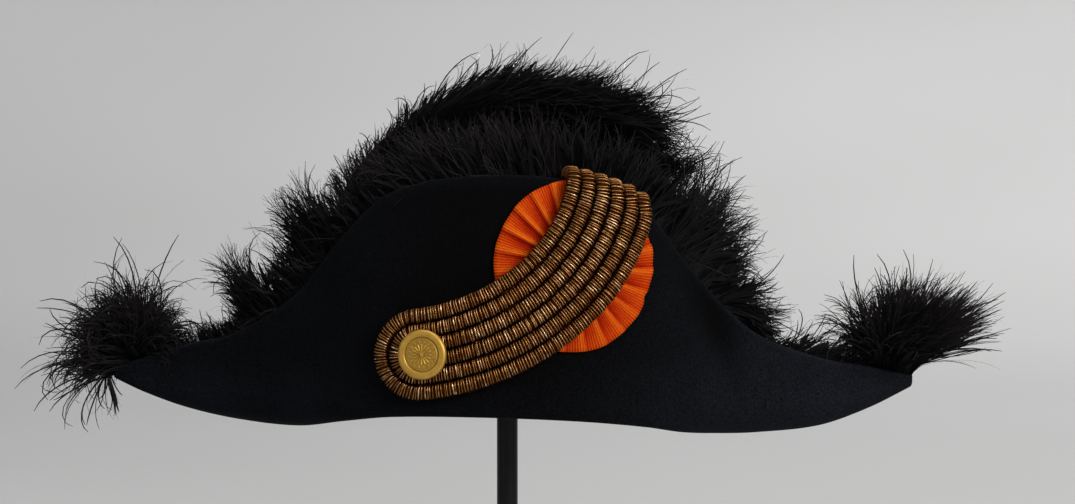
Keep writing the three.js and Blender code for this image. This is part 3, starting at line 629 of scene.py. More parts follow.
def brim_path(x, inset, edge_drop):
    """A cross section of the brim, from the front edge round to the back edge."""
    keel, fold, turn = (along(SECTIONS, name, x) for name in ("keel", "fold", "turn"))

    def wall(side, sign):
        edge = along(SECTIONS, f"{side}_edge", x) - edge_drop
        z = np.linspace(edge, keel + turn, WALL_STEPS + 1)
        return points_of(x, sign * (outer_half_width(side, x, z) - inset), z)

    def bend(sign):
        angle = np.linspace(0, math.pi / 2, TURN_STEPS + 1)[1:]
        y = sign * (fold - turn + (turn - inset) * np.cos(angle))
        return points_of(x, y, keel + turn - (turn - inset) * np.sin(angle))

    across = np.linspace(turn - fold, fold - turn, FLOOR_STEPS + 1)[1:-1]
    floor = points_of(x, across, keel + inset)
    return np.concatenate([wall("front", -1), bend(-1), floor, bend(1)[::-1], wall("back", 1)[::-1]])


def brim_loop(x, share):
    """The felt's closed outline at a station."""
    half = FELT_WALL / 2 * share
    middle = FELT_WALL / 2
    outer = brim_path(x, middle - half, half)
    inner = brim_path(x, middle + half, half)
    turn = np.linspace(0, math.pi, EDGE_STEPS + 1)[1:-1, None]

    def cap(start, end):
        swing = start * (1 + np.cos(turn)) / 2 + end * (1 - np.cos(turn)) / 2
        return swing + UP * half * np.sin(turn)

    return np.concatenate([outer, cap(outer[-1], inner[-1]), inner[::-1], cap(inner[0], outer[0])])


def make_brim(material):
    """The felt brim as a thick sheet with round edges and the head's oval cut out."""
    first, last = SECTIONS["x"][[0, -1]]
    half = FELT_WALL / 2
    turn = np.linspace(0, math.pi / 2, TIP_STEPS + 1)[1:]
    tips = [(half * (1 - math.sin(angle)), max(math.cos(angle), TIP_SHARE)) for angle in turn]
    places = [(first + offset, share) for offset, share in reversed(tips)]
    places += [(x, 1.0) for x in np.linspace(first + half, last - half, BRIM_STATIONS)]
    places += [(last - offset, share) for offset, share in tips]
    brim = grid_mesh("felt_brim", np.array([brim_loop(x, share) for x, share in places]))
    cutter = make_oval_cutter()
    cut = brim.modifiers.new("head_opening", "BOOLEAN")
    cut.operation = "DIFFERENCE"
    cut.object = cutter
    cut.solver = "EXACT"
    graph = bpy.context.evaluated_depsgraph_get()
    mesh = bpy.data.meshes.new_from_object(brim.evaluated_get(graph))
    brim.modifiers.clear()
    brim.data = mesh
    bpy.data.objects.remove(cutter)
    set_painted_light(brim)
    add_piece(brim, "brim", material)


def set_painted_light(obj):
    """Painted light and shade on the felt at each vertex."""
    places = np.empty(3 * len(obj.data.vertices), np.float32)
    obj.data.vertices.foreach_get("co", places)
    x, y, z = (places.reshape(-1, 3) / MM - UP * RIM_HEIGHT).T
    # Painted shade in the dent of the front flap
    dented = np.where(y < 0, np.maximum(dent_depth(x, z), 0), 0)
    edge = np.where(y < 0, along(SECTIONS, "front_edge", x), along(SECTIONS, "back_edge", x))
    # A painted highlight along the flaps' top edges
    edge_highlight = PAINTED_FELT_LIGHT.wear * smoothstep(-FELT_WALL, -PAINTED_FELT_LIGHT.worn_rim, z - edge)
    # Painted light, lighter towards the felt's foot
    foot = PAINTED_FELT_LIGHT.foot * (1 - smoothstep(*PAINTED_FELT_LIGHT.foot_heights, z))
    set_values(obj, "painted_light", (along(PAINTED_LIGHTS, "painted_light", x) + foot) * (1 - PAINTED_FELT_LIGHT.grime * dented) + edge_highlight)


def make_oval_cutter():
    """A prism of the head's oval that passes through the brim's floor."""
    sides = CROWN.sides
    angle = circle(sides)
    x = (CROWN.half_length + SEAM_GAP) * np.cos(angle)
    y = (CROWN.half_width + SEAM_GAP) * np.sin(angle)
    rings = [points_of(x, y, RIM_HEIGHT + level) for level in (-CUTTER_DEPTH, CUTTER_DEPTH)]
    faces = grid_quads(2, sides, wrap=True).tolist()
    faces += [list(reversed(range(sides))), list(range(sides, 2 * sides))]
    mesh = bpy.data.meshes.new("oval_cutter")
    mesh.from_pydata((np.concatenate(rings) * MM).tolist(), [], faces)
    return new_object("oval_cutter", mesh)


def make_crown(material):
    """The felt dome, its base along the brim's underside."""
    level = np.linspace(0, math.pi / 2, CROWN.levels)[:, None]
    power = 2 / CROWN.roundness
    angle = circle(CROWN.sides)

    def dome(inset):
        reach = np.cos(level) ** power
        reach[-1] = CROWN.tip
        x = (CROWN.half_length - inset) * reach * np.cos(angle)
        y = (CROWN.half_width - inset) * reach * np.sin(angle)
        z = (CROWN.top - inset) * np.sin(level) ** power
        return points_of(x, y, z + along(SECTIONS, "keel", x) * (1 - z / CROWN.top))

    crown = grid_mesh("felt_crown", np.concatenate([dome(FELT_WALL)[::-1], dome(0)]))
    set_painted_light(crown)
    add_piece(crown, "crown", material)


def strand_paths(root, start, heading, length, settle, curl, hook, droop, rng):
    """Paths that leave their roots one way, settle to a heading, curl, hook at their tips and droop."""
    count = len(root)
    share = np.linspace(0, 1, BARB.steps)
    turn = smoothstep(0, 1, np.minimum(share / settle[:, None], 1))[..., None]
    way = unit(start[:, None] * (1 - turn) + heading[:, None] * turn)
    flat = unit(np.cross(heading, np.array([0.0, 1.0, 0.0])))
    deep = np.cross(heading, flat)
    side = unit(flat + deep * rng.normal(0, BARB.sway, (count, 1)))
    angle = (curl[:, None] * share ** 2 + hook[:, None] * share ** 4)[..., None]
    way = way * np.cos(angle) + side[:, None] * np.sin(angle)
    way = unit(way - UP * (droop[:, None] * share ** 2)[..., None])
    stride = (way[:, 1:] + way[:, :-1]) / 2 * (length / (len(share) - 1))[:, None, None]
    return root[:, None] + np.concatenate([np.zeros((count, 1, 3)), np.cumsum(stride, axis=1)], axis=1)


def gathered(paths, clump, strength, rng):
    """Paths drawn towards the middle of their clump, most at their tips."""
    count = clump.max() + 1
    middle = np.zeros((count, *paths.shape[1:]))
    np.add.at(middle, clump, paths)
    middle /= np.maximum(np.bincount(clump, minlength=count), 1)[:, None, None]
    pull = strength * rng.uniform(*BARB.clump_pull, count)[clump] * rng.uniform(*BARB.pull, len(paths))
    share = np.linspace(0, 1, paths.shape[1])
    return paths + (middle[clump] - paths) * (pull[:, None] * share ** BARB.pull_power)[..., None]


def varied(rng, clump, clumps, by_clump, by_barb):
    """Random numbers for barbs, partly shared by their clump."""
    return rng.normal(0, by_clump, clumps)[clump] + rng.normal(0, by_barb, len(clump))


def uneven_reach(rng, clump, clumps, spread, least, most):
    """Shares of the reach, most near the full one."""
    share = BARB.full - BARB.shorter * rng.random(len(clump)) ** BARB.shorter_power
    return share * np.clip(rng.normal(1, spread, clumps), least, most)[clump]


def add_feathers(part, paths, width, turn, tone, under, rng, material):
    """Ostrich barbs along paths: tapering ribbons, and on all but the broad ones short barbules."""
    width = np.where(under, BARB.under_width, width)
    count, steps = paths.shape[:2]
    tangent = unit(np.gradient(paths, axis=1))
    across = unit(np.cross(tangent, ASIDE))
    over = np.cross(tangent, across)
    share = np.linspace(0, 1, steps)
    twist = turn[:, None] + rng.normal(0, BARB.twist, (count, 1)) * share
    side = across * np.cos(twist)[..., None] + over * np.sin(twist)[..., None]
    half = (width[:, None] * np.interp(share, *BARB.taper))[..., None] / 2
    ribbon = np.stack([paths - side * half, paths + side * half], axis=2)
    quads = grid_quads(steps, 2)
    ribbon_quads = (quads[None] + (np.arange(count) * steps * 2)[:, None, None]).reshape(-1, 4)

    rows = np.flatnonzero(~under)
    many = BARB.barbules
    shift = rng.uniform(-BARB.barbule_shift, BARB.barbule_shift, (len(rows), many))
    place = np.linspace(*BARB.barbule_ends, many) + shift
    cell = np.clip(place * (steps - 1), 0, steps - 1.001)
    low = cell.astype(int)
    mix = (cell - low)[..., None]

    def between(values):
        return values[rows[:, None], low] * (1 - mix) + values[rows[:, None], low + 1] * mix

    root = between(paths)
    ahead = unit(between(tangent))
    spin = rng.uniform(0, 2 * math.pi, place.shape)[..., None]
    out = unit(between(across)) * np.cos(spin) + unit(between(over)) * np.sin(spin)
    length = BARB.barbule * rng.uniform(*BARB.barbule_reach, place.shape) * (1 - BARB.barbule_less * place)
    tip = root + unit(ahead + out * BARB.splay) * length[..., None]
    base = ahead * BARB.barbule_width / 2
    barbules = np.stack([root - base, root + base, tip], axis=2).reshape(-1, 3)
    barbule_faces = np.arange(len(barbules)).reshape(-1, 3)

    points, faces = joined([(ribbon.reshape(-1, 3), triangles_of(ribbon_quads)), (barbules, barbule_faces)])
    obj = new_mesh(f"ostrich_{part}", points, faces)
    # The tone is painted lighter towards the tips as a painted highlight
    ribbon_tone = np.repeat(tone[:, None] + BARB.tip_tone * share, 2)
    barbule_tone = np.repeat(tone[rows, None] + BARB.tip_tone * place, 3)
    set_values(obj, "tone", np.concatenate([ribbon_tone, barbule_tone]))
    add_piece(obj, f"feather_{part}", material)


def lean_vectors(degrees, tilt):
    """Directions from a lean in degrees from +X, upright along the hat, and a tilt towards +Y."""
    lean = np.radians(degrees)
    aside = np.radians(tilt)
    level = np.cos(aside)
    return points_of(np.cos(lean) * level, np.sin(aside), np.sin(lean) * level)


def make_trim(side, rows, material, seed):
    """Ostrich trim inside one flap's edge, in uneven clumps."""
    rng = np.random.default_rng(seed)
    sign = -1 if side == "front" else 1
    columns = table(TRIM_COLUMNS, rows)
    count = TRIM.barbs
    clumps = TRIM.clumps
    draw = partial(rng.uniform, size=count)

    # Places along the edge, by its length and by how thickly the barbs grow there
    fine = np.linspace(*columns["x"][[0, -1]], TRIM.stations)
    line = points_of(fine, along(SECTIONS, f"{side}_half", fine), along(SECTIONS, f"{side}_edge", fine))
    steps = np.linalg.norm(np.diff(line, axis=0), axis=1) * along(columns, "growth", fine[1:])
    run = np.concatenate([[0], np.cumsum(steps)])
    spot = (np.arange(count) + draw(0, 1)) / count * run[-1]
    clump = spot / run[-1] * clumps + rng.normal(0, TRIM.clump_mix, count)
    clump = np.clip(clump, 0, clumps - 1).astype(int)
    x = np.interp(spot, run, fine)
    lean, reach, inset, growth, falls, strays, grey_and_sheen = (along(columns, name, x) for name in TRIM_COLUMNS[1:])

    # Broad barbs painted near black, a stand-in for the shade inside the trim, lie under the fine ones,
    # a few strays stand up, and some fall over the edge
    kind = rng.random(count)
    under = kind < TRIM.under * np.minimum(growth, 1)
    stray = kind > 1 - strays
    over = ~under & ~stray & (rng.random(count) < falls)

    edge = along(SECTIONS, f"{side}_edge", x)
    drop = draw(TRIM.least_drop, 1) * TRIM.drop
    drop = drop * np.clip(inset / TRIM.drop_inset, TRIM.least_drop, 1)
    drop = np.where(over, TRIM.over_drop, drop)
    outer = outer_half_width(side, x, edge - drop)
    slope = outer_half_width(side, x + 1, edge - drop) - outer
    lean = lean + varied(rng, clump, clumps, *TRIM.lean)
    lean = np.where(stray, lean + (90 - lean) * draw(*TRIM.stray_lift), lean)
    spread = uneven_reach(rng, clump, clumps, *TRIM.clump_reach)
    spread = np.where(under, draw(*TRIM.under_reach), spread)
    spread = np.where(stray, draw(*TRIM.stray_reach), spread)
    lean = np.where(under, lean + rng.normal(0, TRIM.under_lean, count), lean)
    reach = np.minimum(reach * spread, TRIM.longest)
    heading = lean_vectors(lean, varied(rng, clump, clumps, *TRIM.tilt))
    heading[:, 1] += sign * slope * TRIM.follow * heading[:, 0]

    depth = draw(*TRIM.depth) * inset
    near = TRIM.near + draw(0, TRIM.near_share) * inset
    root = points_of(x, sign * (outer - FELT_WALL - near), edge - drop)
    start = unit(points_of(0, -sign * (depth - near), drop))
    fallen = lean + np.sign(lean - 90) * draw(*TRIM.fall)
    fallen = lean_vectors(fallen, sign * draw(*TRIM.fall_tilt))
    heading = np.where(over[:, None], fallen, heading)
    start = np.where(over[:, None], unit(np.array([0, sign, 1])), start)
    reach = np.where(over, draw(*TRIM.over_reach) * reach, reach)
    length = drop + reach
    settle = np.clip(TRIM.settle * drop / length, *TRIM.settle_ends)
    curl = np.radians(varied(rng, clump, clumps, *TRIM.curl))
    curl = np.where(stray, TRIM.stray_curl * curl, curl)
    hook = np.radians(rng.normal(0, TRIM.hook, count))
    droop = draw(0, TRIM.droop)
    paths = strand_paths(root, start, heading, length, settle, curl, hook, droop, rng)
    gather = TRIM.gather * (1 - TRIM.gather_less * grey_and_sheen)
    paths = np.where((stray | over)[:, None, None], paths, gathered(paths, clump, gather, rng))

    width = BARB.width * draw(*TRIM.width) * (1 - TRIM.fine * grey_and_sheen)
    width = np.where(stray, BARB.stray_width, width)
    turn = np.where(under, rng.normal(0, TRIM.under_turn, count), draw(0, 2 * math.pi))
    # The tone column is the barbs' own grey, raised in the front's middle as a painted sheen
    tone = grey_and_sheen * draw(*TRIM.tone) + rng.uniform(0, TRIM.clump_tone, clumps)[clump]
    tone = np.where(under, BARB.under_tone, tone)
    add_feathers(f"trim_{side}", paths, width, turn, tone, under, rng, material)


def make_tuft(side, rows, root_first, root_last, curl, wisp, blades, seed, material):
    """Ostrich tuft that fans out of one point of the brim."""
    rng = np.random.default_rng(seed)
    columns = table(TUFT_COLUMNS, rows)
    count = TUFT.barbs
    clumps = TUFT.clumps
    draw = partial(rng.uniform, size=count)

    # Clumps spread by how thickly the barbs grow, those that hang down looser
    first, last = columns["lean"][[0, -1]]
    fine = np.linspace(first, last, TUFT.stations)
    weight = np.cumsum(np.maximum(along(columns, "growth", fine, "lean"), TUFT.least_growth))
    clump = rng.integers(0, clumps, count)
    spots = (np.arange(clumps) + rng.uniform(0, 1, clumps)) / clumps * weight[-1]
    clump_lean = np.interp(spots, weight, fine)[clump]
    loose = clump_lean > TUFT.hanging
    lean = clump_lean + rng.normal(0, 1, count) * np.where(loose, TUFT.hanging_lean, TUFT.barb_lean)
    lean = np.clip(lean, first, last)
    tilt = varied(rng, clump, clumps, *TUFT.tilt)
    tilt = np.clip(tilt, -TUFT.most_tilt, TUFT.most_tilt)

    # Broad barbs painted near black, a stand-in for the shade inside the tuft, lie inside, and a few
    # long wisps stand out
    kind = rng.random(count)
    under = (kind < TUFT.under) & (lean > blades[0]) & (lean < blades[1])
    loner = kind > 1 - along(columns, "wisps", lean, "lean")
    lean = np.where(loner, lean + rng.normal(0, TUFT.wisp_lean, count), lean)
    spread = uneven_reach(rng, clump, clumps, *TUFT.clump_reach)
    spread = np.where(under, draw(*TUFT.under_reach), spread)
    spread = np.where(loner, draw(*TUFT.wisp_reach) * wisp, spread)
    length = along(columns, "reach", lean, "lean") * spread + TUFT.root_length
    heading = lean_vectors(lean, tilt)

    place = np.clip((last - lean) / (last - first) + rng.normal(0, TUFT.root_mix, count), 0, 1)
    hanging = lean > TUFT.hanging
    x = root_first + np.where(hanging, TUFT.hanging_root, (root_last - root_first) * place)
    edge = np.minimum(along(SECTIONS, "front_edge", x), along(SECTIONS, "back_edge", x))
    half = along(SECTIONS, "front_half", x) - FELT_WALL
    across = draw(-TUFT.root_side, TUFT.root_side) * half
    root = points_of(x, across, edge - draw(*TUFT.root_depth))
    low = smoothstep(*TUFT.low, lean)[:, None]
    start = unit(UP * (1 - low) + heading * (TUFT.start + low))
    start = np.where(hanging[:, None], unit(np.array(TUFT.hanging_start)), start)
    settle = np.full(count, TUFT.settle)
    outwards = np.where(lean > 90, 1, -1) * rng.choice([1, 1, -1], count)
    bend = np.radians(varied(rng, clump, clumps, *TUFT.curl) * curl)
    bend = np.where(loner, np.radians(outwards * draw(*TUFT.wisp_curl) * curl), bend)
    hook = along(columns, "hook", lean, "lean") * TUFT.hook * rng.random(count) ** TUFT.hook_power
    hook = np.radians(np.minimum(hook, TUFT.most_hook) * outwards)
    bend = bend + TUFT.hook_bend * hook
    droop = np.where(loner, draw(0, TUFT.wisp_droop), draw(0, TUFT.droop))
    paths = strand_paths(root, start, heading, length, settle, bend, hook, droop, rng)
    paths = np.where((loner | loose)[:, None, None], paths, gathered(paths, clump, TUFT.gather, rng))

    width = BARB.width * draw(*TUFT.width)
    width = np.where(loner, TUFT.wisp_width * BARB.stray_width, width)
    width = np.where(hanging, TUFT.hanging_width * BARB.stray_width, width)
    tone = draw(*TUFT.tone) + rng.uniform(0, TUFT.clump_tone, clumps)[clump]
    tone = np.where(under, TUFT.under_tone, tone)
    turn = draw(0, 2 * math.pi)
    add_feathers(f"tuft_{side}", paths, width, turn, tone, under, rng, material)


def strap_place(t):
    """A place on the strap's middle line and its direction."""
    points = np.array(STRAP)
    while len(points) > 2:
        points = points[:-1] * (1 - t) + points[1:] * t
    direction = points[1] - points[0]
    return points[0] + direction * t, direction / np.linalg.norm(direction)


def beside_strap(middle, direction, distance):
    """A place beside a place on the flap, measured over the felt."""
    slope_x, slope_z = front_slopes(*middle)
    climb = slope_x * direction[0] + slope_z * direction[1]
    return middle + direction * distance / math.hypot(direction[0], direction[1], climb)


def beside_strap_at(t, offset):
    """A place beside the strap's middle line."""
    middle, direction = strap_place(t)
    return beside_strap(middle, np.array([direction[1], -direction[0]]), offset)


def cord_lift(x, z):
    """A cord's height over the felt, which rises where it crosses the cockade."""
    distance = np.hypot(x - COCKADE.x, z - COCKADE.z)
    clear = smoothstep(COCKADE.radius + COCKADE.rise, COCKADE.radius + COCKADE.ramp, distance)
    over = SOFT_GAP + COCKADE.thickness + COCKADE.pleat_depth
    return CORD_RADIUS + SOFT_GAP + over * (1 - clear)


def cord_rows(places):
    """Points of a cord over places on the flap, each with the direction off the felt."""
    x, z = np.array(places).T
    return np.hstack(on_front_flap(x, z, cord_lift(x, z)))


def hook_over(x):
    """A cord's end, turned over the flap's edge from inside."""
    edge = along(SECTIONS, "front_edge", x)
    _, normal = on_front_flap(*STRAP[0])
    inwards = -unit(normal * np.array([1, 1, 0]))
    outer = np.array([x, -outer_half_width("front", x, edge), edge])
    outside = cord_lift(x, edge)
    swing = (outside + FELT_WALL + CORD_RADIUS + SOFT_GAP) / 2
    edge_slope = along(SECTIONS, "front_edge", x + 1) - edge
    rise = (CORD_RADIUS + SOFT_GAP) * math.hypot(1, edge_slope)
    angle = np.linspace(0, math.pi, HOOK_STEPS)[:, None]
    round_edge = inwards * swing * np.cos(angle) + UP * rise * np.sin(angle)
    arc = np.hstack([outer + inwards * (swing - outside) + round_edge, unit(round_edge)])
    start = arc[:1].copy()
    start[:, 2] -= HOOK_DROP
    return np.concatenate([start, arc])


def strand_points(offset, share):
    """A strand from the flap's edge down to a share of the way to the button."""
    start = 0.0
    x, z = beside_strap_at(start, offset)
    while z > along(SECTIONS, "front_edge", x) - CORD_RADIUS:
        start += STRAND_SEARCH
        x, z = beside_strap_at(start, offset)
    leg = cord_rows([beside_strap_at(t, offset) for t in np.linspace(start, share, STRAND_STEPS)])
    return np.concatenate([hook_over(x), leg])


def loop_points(offset):
    """A loop from the flap's edge, round the button and back to the edge."""
    button, arrival = strap_place(1.0)
    side = np.array([arrival[1], -arrival[0]])
    angles = np.linspace(0, math.pi, LOOP_STEPS)[1:-1]
    ways = [side * math.cos(angle) + arrival * math.sin(angle) for angle in angles]
    around = cord_rows([beside_strap(button, way, offset) for way in ways])
    return np.concatenate([strand_points(offset, 1.0), around, strand_points(-offset, 1.0)[::-1]])


def smoothed(rows):
    """A cord's rows, gently smoothed, and the distance of each along it."""
    rows = rows.copy()
    for _ in range(SMOOTHINGS):
        rows[1:-1] = (rows[:-2] + 2 * rows[1:-1] + rows[2:]) / 4
    steps = np.linalg.norm(np.diff(rows[:, :3], axis=0), axis=1)
    return rows, np.concatenate([[0], np.cumsum(steps)])


def strand_frames(rows, run, count):
    """Even points along a strand, and the directions along it, across it and off the felt."""
    places = np.linspace(0, run[-1], count)
    even = np.stack([np.interp(places, run, column) for column in rows.T], axis=-1)
    line = even[:, :3]
    tangent = unit(np.gradient(line, axis=0))
    side = unit(np.cross(tangent, even[:, 3:]))
    return line, tangent, side, np.cross(side, tangent)


def make_bullion(part, kind, offset, gold, seed, wire, shade_core):
    """A strand of bullion: uneven turns of wire over a dark core that stands in for the shade between them.
    """
    rng = np.random.default_rng(seed)
    beside = offset * CORD_PITCH
    rows = loop_points(beside) if kind == "loop" else strand_points(beside, INNER_STRAND_SHARE)
    rows, run = smoothed(rows)
    length = run[-1]
    turns = int(length / COIL.pitch)
    count = turns * COIL.samples
    line, tangent, side, lift = strand_frames(rows, run, count)
    step = np.arange(count)
    angle = (step / COIL.samples * 2 * math.pi)[:, None]
    halves = np.arange(0, count, COIL.samples / 2)
    wander = [np.interp(step, halves, rng.normal(0, size, len(halves))) for size in (COIL.wobble, COIL.slide)]
    shake, slide = np.array(wander)[..., None]
    oval = side * COIL.half_width * squared(np.cos(angle), COIL.squareness)
    oval = oval + lift * COIL.half_height * squared(np.sin(angle), COIL.squareness)
    out = unit(side * np.cos(angle) + lift * np.sin(angle))
    middle = line + oval + out * shake + tangent * slide
    corner = circle(COIL.wire_sides)[:, None]
    ring = COIL.wire * (out[:, None] * np.cos(corner) + tangent[:, None] * np.sin(corner))
    wire_points = (middle[:, None] + ring).reshape(-1, 3)
    wire_faces = triangles_of(grid_quads(count, COIL.wire_sides, wrap=True))

    # The dark core, a stand-in for shade inside the coil, with a flat foot of painted shade between strands
    steps = max(SHADE_CORE.steps, turns // SHADE_CORE.turns)
    line, _, side, lift = strand_frames(rows, run, steps)
    angle = circle(SHADE_CORE.sides)
    foot = SHADE_CORE.foot * squared(np.cos(angle), SHADE_CORE.foot_squareness)
    across = COIL.half_width * np.where(np.sin(angle) < SHADE_CORE.foot_top, foot, SHADE_CORE.share * np.cos(angle))
    above = COIL.half_height * SHADE_CORE.share * np.sin(angle)
    ring = side[:, None] * across[:, None] + lift[:, None] * above[:, None]
    core_points = (line[:, None] + ring).reshape(-1, 3)
    caps = [
        [end, end + corner, end + corner + 1]
        for end in (0, len(core_points) - SHADE_CORE.sides)
        for corner in range(1, SHADE_CORE.sides - 1)
    ]
    core_faces = np.concatenate([triangles_of(grid_quads(steps, SHADE_CORE.sides, wrap=True)), np.array(caps)])

    points, faces = joined([(wire_points, wire_faces), (core_points, core_faces)])
    obj = new_mesh(f"bullion_{part}", points, faces)
    drifts = rng.normal(0, GOLD.drift, GOLD.drift_steps)
    drift = np.interp(step, np.linspace(0, count, GOLD.drift_steps), drifts)
    turn_tone = rng.normal(0, GOLD.turn, turns + 1)[step // COIL.samples]
    # Random speckle along the wire, with painted glints on a few samples
    speckle = rng.normal(0, GOLD.speckle, count) + GOLD.glint * (rng.random(count) < GOLD.glints)
    # The wire is darker towards each end of the strand
    from_end = np.minimum(step, count - step) / count * length
    dull = GOLD.dull * (1 - smoothstep(0, GOLD.dull_reach, from_end))
    tone = np.repeat(np.clip(gold + drift + turn_tone + speckle - dull, 0, 1), COIL.wire_sides)
    set_values(obj, "tone", np.concatenate([tone, np.zeros(len(core_points))]))
    add_piece(obj, f"bullion_{kind}_{part}", wire)
    obj.data.materials.append(shade_core)
    in_core = np.arange(len(faces)) >= len(wire_faces)
    obj.data.polygons.foreach_set("material_index", in_core.astype(np.int32))


def make_cockade(material):
    """A pleated disc of ribbed ribbon with one nick in its rim."""
    phase = np.arange(PLEATS.count * PLEATS.steps) / PLEATS.steps
    angle = phase / PLEATS.count * 2 * math.pi
    within = phase % 1
    rise = np.where(within < PLEATS.peak, within / PLEATS.peak, (1 - within) / (1 - PLEATS.peak))
    rise = smoothstep(0, 1, rise)
    uneven = PLEATS.mean + sum(size * np.sin(waves * angle + start) for waves, size, start in UNEVEN_ROWS)
    rib = 0.5 + 0.5 * np.cos(within * PLEATS.ribs * 2 * math.pi)
    share = np.linspace(PLEATS.centre, 1, PLEATS.rings)[:, None]
    away = (angle - math.radians(NOTCH.angle) + math.pi) % (2 * math.pi) - math.pi
    nick = NOTCH.depth * bell(away, 0, math.radians(NOTCH.width))
    ripple = PLEATS.ripple * np.sin(PLEATS.ripples * angle) + PLEATS.rib_ripple * rib
    reach = share * (COCKADE.radius + ripple - nick)

    slope_x, _ = front_slopes(COCKADE.x, COCKADE.z)
    narrow = COCKADE.aspect / math.hypot(1, slope_x)
    x = COCKADE.x + reach * narrow * np.cos(angle)
    z = COCKADE.z + reach * np.sin(angle)
    height = PLEATS.base + share * (PLEATS.height * rise * uneven + PLEATS.rib_height * rib)
    wave = PLEATS.wave * share ** 4 * np.sin(PLEATS.waves * angle + PLEATS.wave_start)
    wave = np.maximum(wave * np.clip(np.cos(angle), 0, 1), 0)
    top, _ = on_front_flap(x, z, SOFT_GAP + height + wave)
    under, _ = on_front_flap(x, z, SOFT_GAP + PLEATS.under)
    obj = grid_mesh("ribbon_cockade", np.concatenate([under, top[::-1]]))

    # The fold number is painted light and shade: dark in creases and low in pleats, light on crests and ribs
    creases = (PLEAT_SHADING.crease_at, PLEAT_SHADING.crease_at - 1)
    crease = sum(bell(within, place, PLEAT_SHADING.crease_width) for place in creases)
    crest = bell(within, PLEAT_SHADING.crest_at, PLEAT_SHADING.crest_width)
    light = PLEAT_SHADING.slope * rise - PLEAT_SHADING.shade + PLEAT_SHADING.crest * crest - PLEAT_SHADING.crease * crease
    rim = smoothstep(PLEAT_SHADING.rim_start, 1, share)
    deep = PLEAT_SHADING.depth * (1 - PLEAT_SHADING.rim_calm * rim)
    fold = PLEAT_SHADING.base + PLEAT_SHADING.rim * rim + deep * light * uneven / PLEATS.mean + PLEAT_SHADING.rib * rib
    fold = np.clip(fold, 0, 1)
    set_values(obj, "fold", np.concatenate([fold, fold[::-1]]))
    set_values(obj, "rib", np.broadcast_to(rib, (2 * PLEATS.rings, len(rib))))
    add_piece(obj, "cockade", material)


def make_button(material):
    """A gilt button: a plain rim, an incised line and a radial rosette."""
    radius = BUTTON.radius
    back = 2 * CORD_RADIUS + SOFT_GAP + SEAM_GAP
    front = back + BUTTON.thickness
    inner = radius - BUTTON.rim
    field = front - BUTTON.recess
    profile = [
        (AXIS, SEAM_GAP), (BUTTON.shank, SEAM_GAP), (BUTTON.shank, back), (radius - 0.9, back),
        (radius - 0.2, back + 0.5), (radius, back + 1.2), (radius, front - 1.4), (radius - 0.35, front - 0.6),
        (radius - 1.0, front - 0.15), (radius - 2.0, front), (inner + 0.7, front - 0.05),
        (inner + 0.3, front - 0.2), (inner + 0.1, field - 0.25), (inner - 0.25, field - 0.25),
        (inner - 0.5, field),
    ]
    profile += [(reach, field) for reach in np.linspace(inner - 0.9, AXIS, BUTTON.rings)]
    reach, height = np.array(profile).T[..., None]
    angle = circle(BUTTON.spokes)
    petal = np.cos(ROSETTE.petals * angle)
    ray = np.clip(petal, 0, 1) ** ROSETTE.ray_power
    bead = np.clip(-petal, 0, 1) ** ROSETTE.bead_power
    on_face = height > back + 1.5
    in_field = on_face & (reach < inner - 0.6)
    ray_band = smoothstep(*ROSETTE.ray_start, reach) * (1 - smoothstep(*ROSETTE.ray_end, reach))
    bead_band = ROSETTE.bead_share * bell(reach, ROSETTE.bead_reach, ROSETTE.bead_width)
    relief = ray_band * ray + bead_band * bead + bell(reach, 0, ROSETTE.boss)
    height = height + np.where(in_field, ROSETTE.relief * relief, 0)

    spot, normal = on_front_flap(*BUTTON_PLACE)
    side = unit(np.cross(UP, normal))
    across = side * np.cos(angle)[:, None] + np.cross(normal, side) * np.sin(angle)[:, None]
    obj = grid_mesh("gilt_button", spot + reach[..., None] * across + height[..., None] * normal)
    set_values(obj, "field", np.broadcast_to(in_field, height.shape))
    # Painted shade along the incised groove
    groove = GILT.groove * bell(reach, inner, GILT.groove_width) * on_face
    bright = np.where(in_field, GILT.field + GILT.relief * relief, GILT.rim) - groove
    set_values(obj, "bright", np.clip(bright, 0, 1))
    add_piece(obj, "button", material)


def turned(name, profile, sides):
    """A turned piece from pairs of reach and height."""
    reach, height = np.array(profile).T[..., None]
    angle = circle(sides)
    return grid_mesh(name, points_of(reach * np.cos(angle), reach * np.sin(angle), height), base=0)


def rounded(reach, height, radius, start):
    """Profile points of a round corner, a quarter turn from an angle in degrees."""
    angles = np.radians(np.linspace(start, start + 90, STAND.corner_steps))
    return [(reach + radius * math.cos(angle), height + radius * math.sin(angle)) for angle in angles]


